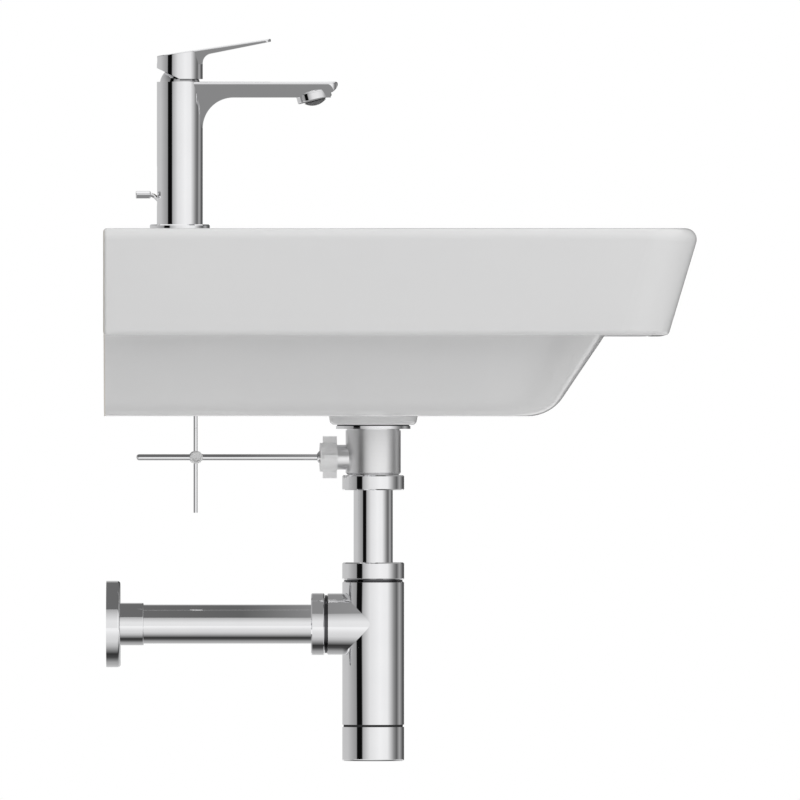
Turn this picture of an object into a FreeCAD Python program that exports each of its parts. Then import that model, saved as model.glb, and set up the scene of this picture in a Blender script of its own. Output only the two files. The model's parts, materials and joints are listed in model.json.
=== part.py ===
import FreeCAD, Part
import math
import os
import Sketcher
from FreeCAD import Placement, Rotation, Vector

# Wall-hung vanity basin with its mixer tap, pop-up waste and bottle trap.
# +Z is up, the wall is the plane Y = 0 and the front faces -Y. The origin is the
# middle of the two wall-bolt holes. Heights named "up" are taken from the rim top.

doc = FreeCAD.newDocument("vanity_basin")
sheet = doc.addObject("Spreadsheet::Sheet", "sizes")

# Driving dimensions in millimetres and degrees
DIMENSIONS = {
    "ceramic basin": {
        "rim_above_bolts": 75,
        "bolt_spacing": 280,
        "bolt_hole": 18,
        "basin_width": 600,
        "basin_projection": 480,
        "basin_height": 152,
        "skirt_height": 86.5,
        "skirt_set_back": 26,
        "corner_round": 38,
        "rim_round": 9,
        "skirt_round": 4,
        "rear_round": 3,
        "apron_width": -72,
        "apron_projection": -74,
        "apron_base_width": -136,
        "apron_base_projection": -118,
        "apron_corner": 100,
        "apron_round": 34,
        "bowl_width": -56,
        "bowl_rear": 118,
        "bowl_front": -30,
        "bowl_corner": 75,
        "bowl_corner_taper": 0.6,
        "bowl_base_width": -144,
        "bowl_base_rear": 135,
        "bowl_base_front": -116,
        "bowl_round": 40,
        "bowl_edge_round": 6,
        "bowl_depth": -14,
        "bowl_wall": 13,
        "lip_wall": 12,
        "lip_top": 22,
        "floor_fall": 3,
        "fall_width": -224,
        "fall_rear": 173,
        "fall_front": -144,
        "fall_corner": 50,
        "fall_base_corner": 30,
        "service_width": -130,
        "service_base_width": -220,
        "service_rear": 14,
        "service_front": 98,
        "deck_thickness": 18,
        "tap_hole": 35,
        "overflow_hole": 22,
        "overflow_drop": 38,
        "overflow_duct": 12,
        "overflow_duct_depth": 110,
        "overflow_run": 6.6,
        "overflow_run_below": 8.6,
        "drain_hole": 46,
        "drain_recess": 67,
        "drain_recess_depth": 4.5,
        "boss_width": 72.6,
        "boss_base_width": 70,
        "boss_round": 4,
        "boss_height": 7.2,
    },
    "tap": {
        "tap_depth": 60,
        "tap_width": 37.5,
        "tap_height": 121,
        "base_ring_width": 49,
        "base_ring_height": 4.5,
        "base_ring_edge": 0.8,
        "base_gasket": 0.6,
        "base_gasket_width": 47.6,
        "spigot_width": 34.8,
        "spigot_up": 1,
        "tap_cavity_width": 31.2,
        "tap_cavity_height": -59,
        "core_room": 0.05,
        "inlet_hole": 9,
        "inlet_side": 9.2,
        "inlet_behind": 2,
        "bridge_front": 7,
        "bridge_top": 10,
        "stud_width": 8,
        "stud_behind": 12.5,
        "stud_top": 8.6,
        "stud_length": 72,
        "horseshoe_width": 54,
        "horseshoe_front": 6.8,
        "horseshoe_gasket": 3,
        "horseshoe_plate": 2.5,
        "stud_nut_flats": 13,
        "stud_nut_height": 12,
        "spout_reach": 129,
        "spout_width": 30,
        "spout_tip_width": 26.5,
        "spout_thickness": 12.8,
        "spout_lip": 2.5,
        "spout_scoop": 9,
        "spout_scoop_back": 5.6,
        "spout_scoop_drop": 6.2,
        "spout_corner": 8,
        "spout_edge": 1.4,
        "spout_fillet": 25,
        "spout_flank_start": 2,
        "flank_lean": 0.3,
        "spout_waterway": 6.4,
        "waterway_drop": 6.6,
        "waterway_turn": 22,
        "waterway_fall": 15,
    },
    "cartridge and lever": {
        "cartridge_width": 28.2,
        "cartridge_base": -47,
        "cartridge_height": 34.3,
        "cartridge_bore": 22.2,
        "cartridge_floor": -31,
        "carrier_width": 21.6,
        "carrier_gap": 0.3,
        "port_width": 5,
        "port_side": 7.4,
        "carrier_top": 1,
        "carrier_slot": 6.5,
        "carrier_slot_floor": -21,
        "ring_nut_width": 32.4,
        "ring_nut_bore": 25.2,
        "ring_nut_height": 4.8,
        "dome_radius": 16.5,
        "dome_wall": 2.1,
        "dome_mouth": 21.2,
        "pivot_height": -3,
        "pivot_pin": 3,
        "pivot_pin_length": 19.6,
        "pin_fit": 0.02,
        "pin_room": 0.05,
        "stem_thickness": 6,
        "stem_depth": 8,
        "stem_above": 24.6,
        "stem_below": 14,
        "stem_lean": 12.5,
        "lever_gap": 0.6,
        "lever_fit": 0.05,
        "socket_end": 0.4,
        "lever_under": 2.3,
        "lever_rear_under": 11.3,
        "lever_rear_top": 21.1,
        "lever_reach": 74.4,
        "lever_tip_top": 35.2,
        "lever_tip": 2.3,
        "blade_width": 30,
        "blade_tip_width": 23,
        "blade_corner": 5.4,
        "blade_root_reach": 25.1,
        "blade_root": 4.7,
        "neck_round": 8,
        "neck_up": 12,
        "blade_edge": 0.9,
        "blade_flank_start": 1.1,
        "grub_width": 5,
        "grub_up": 17.6,
        "grub_length": 11,
        "screw_cap_width": 7,
        "screw_cap_length": 3,
        "screw_cap_sunk": 0.35,
        "grub_gap": 0.4,
    },
    "aerator": {
        "aerator_reach": -18.5,
        "aerator_up": -15,
        "aerator_tilt": 14.4,
        "boss_ring_width": 28.5,
        "boss_ring_height": 7.4,
        "boss_ring_edge": 1.2,
        "boss_flare": 5,
        "boss_flare_height": 9.6,
        "socket_width": 24.2,
        "socket_depth": 9.8,
        "aerator_ring_start": 0.3,
        "aerator_ring_height": 7.8,
        "aerator_ring_width": 24,
        "swivel_radius": 10.4,
        "swivel_centre": 5,
        "swivel_top": 8.2,
        "swivel_mouth": 15.2,
        "swivel_gap": 0.3,
        "aerator_bulge": 3.3,
        "aerator_insert_width": 15,
        "aerator_insert_top": 6,
        "aerator_seal_width": 23.4,
        "aerator_seal_bore": 21.2,
        "aerator_seal_height": 1.2,
        "aerator_seal_start": 8.5,
    },
    "pop-up linkage": {
        "knob_depth": -36,
        "knob_length": 12.1,
        "knob_width": 6,
        "knob_edge": 0.8,
        "knob_up": 28.8,
        "knob_blind": 2.6,
        "lift_rod_width": 3.4,
        "lift_rod_depth": 12.8,
        "lift_rod_end": 231,
        "lift_bend_round": 7,
        "lift_bend_depth": -21.8,
        "lift_travel": 24,
        "slot_room": 0.9,
        "rod_level": 185.7,
        "rod_offset": 8,
        "rod_width": 5,
        "rod_end_depth": 24.5,
        "rod_inner_end": 3,
        "ball_arm": 40,
        "ball_width": 13,
        "clamp_width": 10.4,
        "clamp_far": 4.6,
        "clamp_near": 3.6,
        "clamp_outer": 12.4,
        "clamp_room": 0.35,
        "clamp_gap": 0.3,
        "rod_fit": 0.05,
        "clamp_spigot": 5,
        "clamp_spigot_length": 0.8,
        "thumbscrew_width": 10.6,
        "thumbscrew_head": 3.4,
        "thumbscrew_edge": 0.4,
        "thumbscrew_boss": 7.6,
        "thumbscrew_boss_height": 1.2,
        "thumbscrew_shank": 4,
        "thumbscrew_shank_length": 1.2,
        "scallop_count": 9,
        "scallop_width": 2.2,
        "set_screw_width": 3,
        "set_screw_proud": 1.4,
    },
    "pop-up waste": {
        "waste_depth": 218,
        "flange_width": 65,
        "flange_thickness": 3,
        "flange_seat_width": 49,
        "flange_seat_drop": 3.2,
        "flange_bore": 37,
        "tail_width": 42,
        "tail_length": 36.5,
        "window_width": 11,
        "window_height": 8,
        "flange_seal": 1.5,
        "waste_seal": 0.9,
        "waste_seal_width": 59,
        "washer_width": 60.8,
        "washer_thickness": 2.4,
        "waste_width": 45,
        "waste_length": 37.4,
        "waste_chamber": 38,
        "waste_chamber_roof": 15.5,
        "waste_neck": 1.2,
        "waste_neck_width": 43.2,
        "waste_edge": 1.6,
        "thread_room": 0.1,
        "branch_width": 20.3,
        "branch_bore": 16,
        "branch_length": 38,
        "ball_seat_width": 17.1,
        "ball_seat_start": 33,
        "ball_seat_length": 4.2,
        "ball_seat_bore": 9.8,
        "ball_gap": 0.3,
        "ball_nut_width": 23.5,
        "ball_nut_start": 29.8,
        "ball_nut_length": 13.7,
        "ball_nut_room": 0.2,
        "wing_width": 34.2,
        "wing_thickness": 3.4,
        "wing_length": 11.4,
        "wing_count": 4,
        "plug_width": 60,
        "plug_thickness": 5,
        "plug_crown": 1.6,
        "plug_rise": 9.2,
        "plug_seat_gap": 0.4,
        "plug_boss_width": 35.2,
        "plug_boss_length": 5.6,
        "plug_seal_width": 41.4,
        "plug_seal_height": 2,
        "plug_stem_width": 8,
        "plug_tip_round": 3,
        "plug_rod_gap": 0.7,
        "fin_reach": 18,
        "fin_thickness": 2.4,
        "fin_start": 14,
        "fin_length": 16,
        "fin_count": 3,
    },
    "bottle trap": {
        "pipe_width": 32,
        "pipe_wall": 1,
        "pipe_room": 0.2,
        "spigot_bore_depth": 8,
        "pipe_end_room": 0.5,
        "slip_nut_width": 50.6,
        "slip_nut_edge": 0.9,
        "tail_nut_gap": 0.4,
        "tail_nut_height": 12.2,
        "slip_seal": 2.6,
        "nut_face": 2.2,
        "trap_nut_drop": 271.6,
        "trap_nut_height": 13.9,
        "trap_groove": 1.7,
        "groove_depth": 1.3,
        "groove_slope": 0.7,
        "groove_gap": 0.25,
        "trap_width": 50.5,
        "trap_wall": 2,
        "trap_neck_width": 43,
        "trap_body_length": 116.9,
        "trap_roof": 3,
        "branch_drop": 322,
        "trap_branch_width": 50.2,
        "trap_branch_reach": 37.6,
        "outlet_groove": 2.2,
        "outlet_nut_length": 10.9,
        "cup_groove": 1.9,
        "cup_height": 27.8,
        "cup_spigot": 9,
        "cup_floor": 2.4,
        "cup_edge": 1.6,
        "dip_end": 398,
        "outlet_end": 190,
        "wall_flange_width": 70.7,
        "wall_flange_height": 11.5,
        "wall_flange_edge": 2.4,
        "wall_flange_wall": 1.2,
        "collar_width": 34.7,
        "collar_end": 30.4,
        "collar_round": 0.9,
    },
}


class Size:
    """A value of the sheet, or a sum or product of such values, with its expression."""

    def __init__(self, text, value):
        self.text = text
        self.value = value

    def joined(self, other, sign, value):
        return Size("(%s %s %s)" % (self.text, sign, other.text), value)

    def __add__(self, other):
        other = as_size(other)
        return self.joined(other, "+", self.value + other.value)

    def __sub__(self, other):
        other = as_size(other)
        return self.joined(other, "-", self.value - other.value)

    def __mul__(self, other):
        other = as_size(other)
        return self.joined(other, "*", self.value * other.value)

    def __truediv__(self, other):
        other = as_size(other)
        return self.joined(other, "/", self.value / other.value)

    def __neg__(self):
        return as_size(0) - self

    def __radd__(self, other):
        return as_size(other) + self

    def __rsub__(self, other):
        return as_size(other) - self

    def __rmul__(self, other):
        return as_size(other) * self

    def __rtruediv__(self, other):
        return as_size(other) / self


def as_size(number):
    if isinstance(number, Size):
        return number
    return Size("%.9g" % number, number)


def root(number):
    return Size("sqrt(%s)" % number.text, math.sqrt(number.value))


def sine(angle):
    return Size("sin(%s * 1 deg)" % angle.text, math.sin(math.radians(angle.value)))


def cosine(angle):
    return Size("cos(%s * 1 deg)" % angle.text, math.cos(math.radians(angle.value)))


class Sizes:
    """The sheet's values by name."""


s = Sizes()
row = 1
for group, values in DIMENSIONS.items():
    sheet.set("A%d" % row, group)
    row += 1
    for alias, number in values.items():
        sheet.set("A%d" % row, alias.replace("_", " "))
        sheet.set("B%d" % row, str(number))
        sheet.setAlias("B%d" % row, alias)
        setattr(s, alias, Size("sizes." + alias, float(number)))
        row += 1
doc.recompute()

# Turns that point a piece's own Z axis another way
UP = Rotation()
TO_WALL = Rotation(Vector(1, 0, 0), -90)
TO_FRONT = Rotation(Vector(1, 0, 0), 90)
TO_RIGHT = Rotation(Vector(0, 1, 0), 90)
DOWN = Rotation(Vector(1, 0, 0), 180)


def place(piece, x=0, depth=0, up=0, turn=UP):
    """Put a piece at a depth from the wall and a height from the rim top."""
    spot = (as_size(x), -as_size(depth), s.rim_above_bolts + up)
    piece.Placement = Placement(Vector(*[c.value for c in spot]), turn)
    for axis, number in zip("xyz", spot):
        piece.setExpression("Placement.Base." + axis, number.text)
    return piece


def expanded(outline):
    """Split each corner marked round or cut into the two ends of its arc or chamfer."""
    count = len(outline)
    corners = []
    for i, corner in enumerate(outline):
        x, y = as_size(corner[0]), as_size(corner[1])
        mark = corner[2:]
        if not mark or mark[0] == "arc":
            corners.append((x, y, mark[1:] if mark else None))
            continue
        ways = []
        for other in (outline[i - 1], outline[(i + 1) % count]):
            way = Vector(as_size(other[0]).value - x.value, as_size(other[1]).value - y.value, 0)
            ways.append(way.normalize())
        reach = mark[1]
        bend = None
        if mark[0] == "round":
            reach = mark[1] / math.tan(ways[0].getAngle(ways[1]) / 2)
            bend = (mark[1], "left" if ways[1].cross(ways[0]).z > 0 else "right")
        for way, arc in ((ways[0], bend), (ways[1], None)):
            corners.append((x + reach * way.x, y + reach * way.y, arc))
    return corners


def arc_through(start, end, radius, side):
    """The arc of a radius between two points, with its centre on one side of the way."""
    way = end - start
    half = way.Length / 2
    across = Vector(-way.y, way.x, 0).normalize()
    rise = math.sqrt(max(radius * radius - half * half, 0))
    sign = 1 if side == "left" else -1
    centre = start + way * 0.5 + across * (rise * sign)
    middle = centre - across * (radius * sign)
    return Part.ArcOfCircle(start, middle, end)


def draw(sketch, outline, closed=True):
    """Draw lines and arcs in a sketch, every corner bound to the sheet."""
    corners = expanded(outline)
    count = len(corners)
    spans = count if closed else count - 1
    points = [Vector(x.value, y.value, 0) for x, y, _ in corners]
    first = len(sketch.Geometry)
    geometry = []
    ends = []
    for i in range(spans):
        start, end = points[i], points[(i + 1) % count]
        bend = corners[i][2]
        if bend is None:
            geometry.append(Part.LineSegment(start, end))
            ends.append((1, 2))
        else:
            geometry.append(arc_through(start, end, as_size(bend[0]).value, bend[1]))
            ends.append((1, 2) if bend[1] == "left" else (2, 1))
    sketch.addGeometry(geometry, False)
    rules = []
    bound = []
    for i in range(spans):
        after = (i + 1) % count
        if closed or after < spans:
            rules.append(
                Sketcher.Constraint("Coincident", first + i, ends[i][1], first + after, ends[after][0])
            )
        places = [(corners[i], i, ends[i][0])]
        if not closed and i == spans - 1:
            places.append((corners[after], i, ends[i][1]))
        for corner, span, end in places:
            for kind, number in (("DistanceX", corner[0]), ("DistanceY", corner[1])):
                bound.append((len(rules), number.text))
                rules.append(Sketcher.Constraint(kind, -1, 1, first + span, end, number.value))
        if corners[i][2] is not None:
            radius = as_size(corners[i][2][0])
            bound.append((len(rules), radius.text))
            rules.append(Sketcher.Constraint("Radius", first + i, radius.value))
    held = len(sketch.Constraints)
    sketch.addConstraint(rules)
    for index, text in bound:
        sketch.setExpression("Constraints[%d]" % (held + index), text)


def draw_circle(sketch, x, y, width):
    """Draw a circle in a sketch, bound to the sheet."""
    x, y, radius = as_size(x), as_size(y), width / 2
    index = sketch.addGeometry(Part.Circle(Vector(x.value, y.value, 0), Vector(0, 0, 1), radius.value), False)
    held = len(sketch.Constraints)
    numbers = (x, y, radius)
    sketch.addConstraint(
        [
            Sketcher.Constraint("DistanceX", -1, 1, index, 3, x.value),
            Sketcher.Constraint("DistanceY", -1, 1, index, 3, y.value),
            Sketcher.Constraint("Radius", index, radius.value),
        ]
    )
    for offset, number in enumerate(numbers):
        sketch.setExpression("Constraints[%d]" % (held + offset), number.text)


def new_body(label):
    body = doc.addObject("PartDesign::Body", label)
    body.Label = label
    return body


def new_sketch(body, plane, name):
    """A sketch on one of a body's own origin planes."""
    sketch = body.newObject("Sketcher::SketchObject", body.Label + "_" + name)
    origin = [f for f in body.Origin.OriginFeatures if f.Role == plane][0]
    sketch.AttachmentSupport = [(origin, "")]
    sketch.MapMode = "FlatFace"
    return sketch


def turned(label, outline):
    """A body turned about its own Z axis from an outline of radius and height."""
    body = new_body(label)
    sketch = new_sketch(body, "XZ_Plane", "section")
    draw(sketch, outline)
    turn = body.newObject("PartDesign::Revolution", label + "_turn")
    turn.Profile = (sketch, [""])
    turn.ReferenceAxis = (sketch, ["V_Axis"])
    turn.Angle = 360
    return body


def tube(label, width, bore, length):
    return turned(label, [(bore / 2, 0), (width / 2, 0), (width / 2, length), (bore / 2, length)])


def pad(body, sketch, length, both_ways=False):
    feature = body.newObject("PartDesign::Pad", sketch.Label + "_pad")
    feature.Profile = (sketch, [""])
    feature.setExpression("Length", as_size(length).text)
    if both_ways:
        feature.Midplane = True
    return feature


def padded(label, outline, length, plane="XY_Plane", both_ways=False):
    """A body padded from one outline on an origin plane."""
    body = new_body(label)
    sketch = new_sketch(body, plane, "outline")
    draw(sketch, outline)
    pad(body, sketch, length, both_ways)
    return body


def lofted(label, sections, ruled=False):
    """A body lofted through outlines at their heights."""
    body = new_body(label)
    sketches = []
    for outline, height in sections:
        sketch = new_sketch(body, "XY_Plane", "section")
        sketch.setExpression("AttachmentOffset.Base.z", as_size(height).text)
        draw(sketch, outline)
        sketches.append(sketch)
    loft = body.newObject("PartDesign::AdditiveLoft", label + "_loft")
    loft.Profile = (sketches[0], [""])
    loft.Sections = [(sketch, [""]) for sketch in sketches[1:]]
    loft.Ruled = ruled
    return body


def rounded_edges(body, radius, test):
    """Round the edges of a body, in its own frame, that pass a test."""
    doc.recompute()
    base = body.Tip
    names = ["Edge%d" % (i + 1) for i, edge in enumerate(base.Shape.Edges) if test(edge)]
    fillet = body.newObject("PartDesign::Fillet", body.Label + "_round")
    fillet.Base = (base, names)
    fillet.setExpression("Radius", as_size(radius).text)
    return body


def cylinder(label, width, length):
    piece = doc.addObject("Part::Cylinder", label)
    piece.setExpression("Radius", (as_size(width) / 2).text)
    piece.setExpression("Height", as_size(length).text)
    return piece


def block(label, x, y, z):
    piece = doc.addObject("Part::Box", label)
    for side, number in (("Length", x), ("Width", y), ("Height", z)):
        piece.setExpression(side, as_size(number).text)
    return piece


def ball(label, radius):
    piece = doc.addObject("Part::Sphere", label)
    piece.setExpression("Radius", as_size(radius).text)
    return piece


def fused(label, pieces):
    piece = doc.addObject("Part::MultiFuse", label)
    piece.Shapes = pieces
    piece.Refine = True
    piece.Label = label
    return piece


def shared(label, pieces):
    piece = doc.addObject("Part::MultiCommon", label)
    piece.Shapes = pieces
    piece.Label = label
    return piece


def cut_from(label, base, tools):
    piece = doc.addObject("Part::Cut", label)
    piece.Base = base
    piece.Tool = tools[0] if len(tools) == 1 else fused(label + "_room", tools)
    piece.Refine = True
    piece.Label = label
    return piece


def rounded_piece(label, base, groups):
    """Round edges of a piece made by booleans; groups hold a radius and a test on edges."""
    doc.recompute()
    piece = doc.addObject("Part::Fillet", label)
    piece.Base = base
    chosen = []
    for radius, test in groups:
        for i, edge in enumerate(base.Shape.Edges):
            if test(edge):
                chosen.append((i + 1, radius.value, radius.value))
    piece.Edges = chosen
    piece.Label = label
    return piece


def spans(edge, axis, low, high, room=0.01):
    """Whether an edge lies between two values along an axis of its frame."""
    box = edge.BoundBox
    lows = {"x": box.XMin, "y": box.YMin, "z": box.ZMin}
    highs = {"x": box.XMax, "y": box.YMax, "z": box.ZMax}
    return lows[axis] >= low - room and highs[axis] <= high + room


def is_level(edge, height):
    return spans(edge, "z", height, height)


nodes = []


def keep(piece):
    """Mark a finished piece as one of the nodes that are written."""
    nodes.append(piece)
    return piece


# Ceramic basin
rim = s.rim_above_bolts
apron_width = s.basin_width + s.apron_width
apron_base_width = s.basin_width + s.apron_base_width
bowl_width = s.basin_width + s.bowl_width
bowl_base_width = s.basin_width + s.bowl_base_width
fall_width = s.basin_width + s.fall_width
service_width = s.basin_width + s.service_width
service_base_width = s.basin_width + s.service_base_width
apron_projection = s.basin_projection + s.apron_projection
apron_base_projection = s.basin_projection + s.apron_base_projection
bowl_front = s.basin_projection + s.bowl_front
bowl_base_front = s.basin_projection + s.bowl_base_front
fall_front = s.basin_projection + s.fall_front
bowl_depth = s.basin_height + s.bowl_depth
lean = s.skirt_set_back / s.skirt_height
front_corner = s.basin_projection + s.rim_round * (root(1 + lean * lean) + lean - 1)


def make_rim():
    """The rim and its skirt: a leaning front, vertical sides and rounded corners."""
    behind = s.service_rear
    side_view = [
        (behind, rim),
        (behind, rim - s.skirt_height),
        (-(front_corner - s.skirt_set_back), rim - s.skirt_height),
        (-front_corner, rim),
    ]
    body = padded("rim_form", side_view, s.basin_width, "YZ_Plane", both_ways=True)

    def upright_corner(edge):
        return edge.BoundBox.ZLength > 1 and edge.BoundBox.YMax < 0 and edge.BoundBox.XLength < 0.1

    def rim_edge(edge):
        return is_level(edge, rim.value) and edge.BoundBox.YMin < 0

    def skirt_edge(edge):
        return is_level(edge, (rim - s.skirt_height).value) and edge.BoundBox.YMin < 0

    rounded_edges(body, s.corner_round, upright_corner)
    rounded_edges(body, s.rim_round, rim_edge)
    rounded_edges(body, s.skirt_round, skirt_edge)
    return body


def tub_outline(width, rear, front, corner):
    """A rectangle in plan with rounded corners."""
    half = width / 2
    return [
        (half, -rear, "round", corner),
        (-half, -rear, "round", corner),
        (-half, -front, "round", corner),
        (half, -front, "round", corner),
    ]


def wall_inset(taper, drop, foot, height):
    """How far a leaning wall with a rounded foot has come in, at a height above its base."""
    slope = taper / drop
    steep = root(1 + slope * slope)
    start = foot * (1 - slope / steep)
    if height.value >= start.value:
        return slope * (drop - height)
    level = 1 - height / foot
    return slope * (drop - start) + foot * (1 / steep - root(1 - level * level))


# Heights of a wall's sections: shares of its foot's radius, then of the straight rise above
FOOT_STEPS = (0, 0.03, 0.13, 0.3, 0.56)
RISE_STEPS = (0.15, 0.35, 0.65, 1)


def wall_heights(drop, foot):
    bend = foot * FOOT_STEPS[-1]
    return [foot * share for share in FOOT_STEPS] + [bend + (drop - bend) * share for share in RISE_STEPS]


def make_apron():
    """The lower body that tapers in under the rim."""
    drop = s.basin_height - s.skirt_height
    foot = s.apron_round
    side_taper = (apron_width - apron_base_width) / 2
    front_taper = apron_projection - apron_base_projection
    sections = []
    for height in wall_heights(drop, foot):
        side = wall_inset(side_taper, drop, foot, height)
        front = apron_projection - wall_inset(front_taper, drop, foot, height)
        outline = tub_outline(apron_width - side * 2, -front, front, s.apron_corner - side)
        sections.append((outline, rim - s.basin_height + height))
    return lofted("apron_form", sections)


def make_bowl():
    """The hollow of the bowl, with a floor that falls to the drain."""
    drop = bowl_depth - s.floor_fall
    foot = s.bowl_round
    side_taper = (bowl_width - bowl_base_width) / 2
    rear_taper = s.bowl_base_rear - s.bowl_rear
    front_taper = bowl_front - bowl_base_front
    sections = []
    for height in wall_heights(drop, foot):
        side = wall_inset(side_taper, drop, foot, height)
        rear = s.bowl_rear + wall_inset(rear_taper, drop, foot, height)
        front = bowl_front - wall_inset(front_taper, drop, foot, height)
        corner = s.bowl_corner - side * s.bowl_corner_taper
        sections.append((tub_outline(bowl_width - side * 2, rear, front, corner), rim - drop + height))
    body = lofted("bowl_form", sections)
    half = s.drain_recess / 2
    sink = tub_outline(s.drain_recess, s.waste_depth - half, s.waste_depth + half, s.fall_base_corner)
    brim = tub_outline(fall_width, s.fall_rear, fall_front, s.fall_corner)
    fall_sections = [(sink, rim - bowl_depth), (brim, rim - drop), (brim, rim - drop + s.floor_fall / 2)]
    fall = lofted("fall_form", fall_sections, ruled=True)
    return fused("bowl_room", [body, fall])


def make_lip_room():
    """The groove under the rim, open below, between the skirt and the bowl's own wall."""
    base = rim - s.skirt_height
    slant = root(1 + lean * lean)
    under = front_corner - s.skirt_set_back - s.lip_wall * slant
    side_view = [
        (-s.service_rear, rim - s.lip_top),
        (-s.service_rear, base),
        (-under, base),
        (-(under + lean * (s.skirt_height - s.lip_top)), rim - s.lip_top),
    ]
    lip = padded("lip_form", side_view, s.basin_width - s.lip_wall * 2, "YZ_Plane", both_ways=True)
    sections = []
    for width, front, corner, height in (
        (apron_width, apron_projection, s.apron_corner, base),
        (bowl_width + s.bowl_wall * 2, bowl_front + s.bowl_wall, s.bowl_corner + s.bowl_wall, rim),
    ):
        sections.append((tub_outline(width, -front, front, corner), height))
    return cut_from("lip_room", lip, [lofted("core_form", sections, ruled=True)])


def make_service_room():
    """The room behind the bowl, open below, for the tap's tails and the lift rod."""

    rear, front = -s.service_rear, -s.service_front
    sections = []
    for width, level in ((service_base_width, s.basin_height), (service_width, s.deck_thickness)):
        half = width / 2
        sections.append(([(half, rear), (-half, rear), (-half, front), (half, front)], rim - level))
    return lofted("service_form", sections, ruled=True)


def make_overflow():
    """The overflow: a hole in the bowl's rear wall, a duct down and a run to the drain."""
    duct = s.overflow_duct_depth
    run_up = -bowl_depth - s.overflow_run_below
    mouth = cylinder("overflow_mouth", s.overflow_hole, s.bowl_base_rear - duct)
    drop = cylinder("overflow_drop_room", s.overflow_duct, -run_up - s.overflow_drop)
    run = cylinder("overflow_run_room", s.overflow_run, s.waste_depth - duct)
    return [
        place(mouth, 0, duct, -s.overflow_drop, TO_FRONT),
        place(drop, 0, duct, run_up),
        place(run, 0, duct, run_up, TO_FRONT),
    ]


def make_basin():
    behind = block("behind_wall", s.basin_width * 2, s.basin_projection, s.basin_height * 4)
    place(behind, -s.basin_width, 0, -s.basin_height * 2)
    foot = -s.basin_height - s.boss_height
    boss_outline = [
        (0, foot),
        (s.boss_base_width / 2, foot, "round", s.boss_round),
        (s.boss_width / 2, -s.basin_height),
        (0, -s.basin_height),
    ]
    boss = place(turned("drain_boss", boss_outline), 0, s.waste_depth, 0)
    outer = cut_from("basin_outer", fused("basin_form", [make_rim(), make_apron(), boss]), [behind])

    rooms = [make_bowl(), make_lip_room(), make_service_room()] + make_overflow()
    tap_hole = cylinder("tap_hole_room", s.tap_hole, s.deck_thickness * 2)
    rooms.append(place(tap_hole, 0, s.tap_depth, -s.deck_thickness * 1.5))
    recess = cylinder("recess_room", s.drain_recess, bowl_depth)
    rooms.append(place(recess, 0, s.waste_depth, -bowl_depth - s.drain_recess_depth))
    drain = cylinder("drain_room", s.drain_hole, s.basin_height)
    rooms.append(place(drain, 0, s.waste_depth, -s.basin_height - s.boss_height * 2))
    for name, side in (("left", -1), ("right", 1)):
        hole = cylinder("bolt_room_" + name, s.bolt_hole, s.service_rear * 2)
        place(hole, s.bolt_spacing / 2 * side, s.service_rear * 1.5, -s.rim_above_bolts, TO_WALL)
        rooms.append(hole)
    hollow = cut_from("basin_hollow", outer, rooms)

    def bowl_edge(edge):
        half = bowl_width.value / 2
        return (
            is_level(edge, rim.value)
            and spans(edge, "x", -half, half)
            and spans(edge, "y", -bowl_front.value, -s.bowl_rear.value)
        )

    def rear_edge(edge):
        return spans(edge, "y", 0, 0) and edge.BoundBox.ZMin > (rim - s.rim_round).value - 0.01

    groups = [(s.bowl_edge_round, bowl_edge), (s.rear_round, rear_edge)]
    keep(rounded_piece("basin", hollow, groups))


make_basin()


# Mixer tap; its head is set out from its top, the lift rod from its upright axis
tap_top = s.tap_height
cavity_top = tap_top + s.tap_cavity_height
cartridge_base = tap_top + s.cartridge_base
cartridge_floor = tap_top + s.cartridge_floor
carrier_top = tap_top + s.carrier_top
carrier_slot_floor = tap_top + s.carrier_slot_floor
pivot_up = tap_top + s.pivot_height
lever_under = tap_top + s.lever_under
lever_rear_under = tap_top + s.lever_rear_under
lever_rear_top = tap_top + s.lever_rear_top
lever_tip_top = tap_top + s.lever_tip_top
grub_up = tap_top + s.grub_up
aerator_up = tap_top + s.aerator_up
aerator_reach = s.spout_reach + s.aerator_reach
knob_depth = s.tap_depth + s.knob_depth
lift_depth = s.tap_depth + s.lift_rod_depth
bend_depth = s.tap_depth + s.lift_bend_depth
tap_radius = s.tap_width / 2
spout_under = s.tap_height - s.spout_thickness
cartridge_top = cartridge_base + s.cartridge_height
waterway_up = tap_top - s.waterway_drop
SIDES = (("hot", -1), ("cold", 1))


def at_tap(piece, up=0, turn=UP):
    """Put a piece on the tap's upright axis."""
    return place(piece, 0, s.tap_depth, up, turn)


def make_tap_column():
    """The solid column on its locating spigot."""
    outline = [
        (0, s.spigot_up),
        (s.spigot_width / 2, s.spigot_up),
        (s.spigot_width / 2, s.base_ring_height),
        (tap_radius, s.base_ring_height),
        (tap_radius, tap_top),
        (0, tap_top),
    ]
    return at_tap(turned("tap_column", outline))


def make_column_rooms():
    """The rooms in the column: for the tails, beside the stud's bridge, and for the cartridge."""
    bridge = block("stud_bridge", s.tap_width, s.tap_width, s.bridge_top)
    place(bridge, -tap_radius, s.tap_depth - s.bridge_front, 0)
    tails = at_tap(cylinder("tails_bore", s.tap_cavity_width, cartridge_base))
    chamber_width = s.cartridge_width + s.thread_room * 2
    chamber = at_tap(cylinder("cartridge_room", chamber_width, s.cartridge_height), cartridge_base)
    mouth_width = s.ring_nut_width + s.thread_room * 2
    mouth = at_tap(cylinder("ring_nut_room", mouth_width, tap_top), cartridge_top)
    return [cut_from("tails_room", tails, [bridge]), chamber, mouth]


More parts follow.
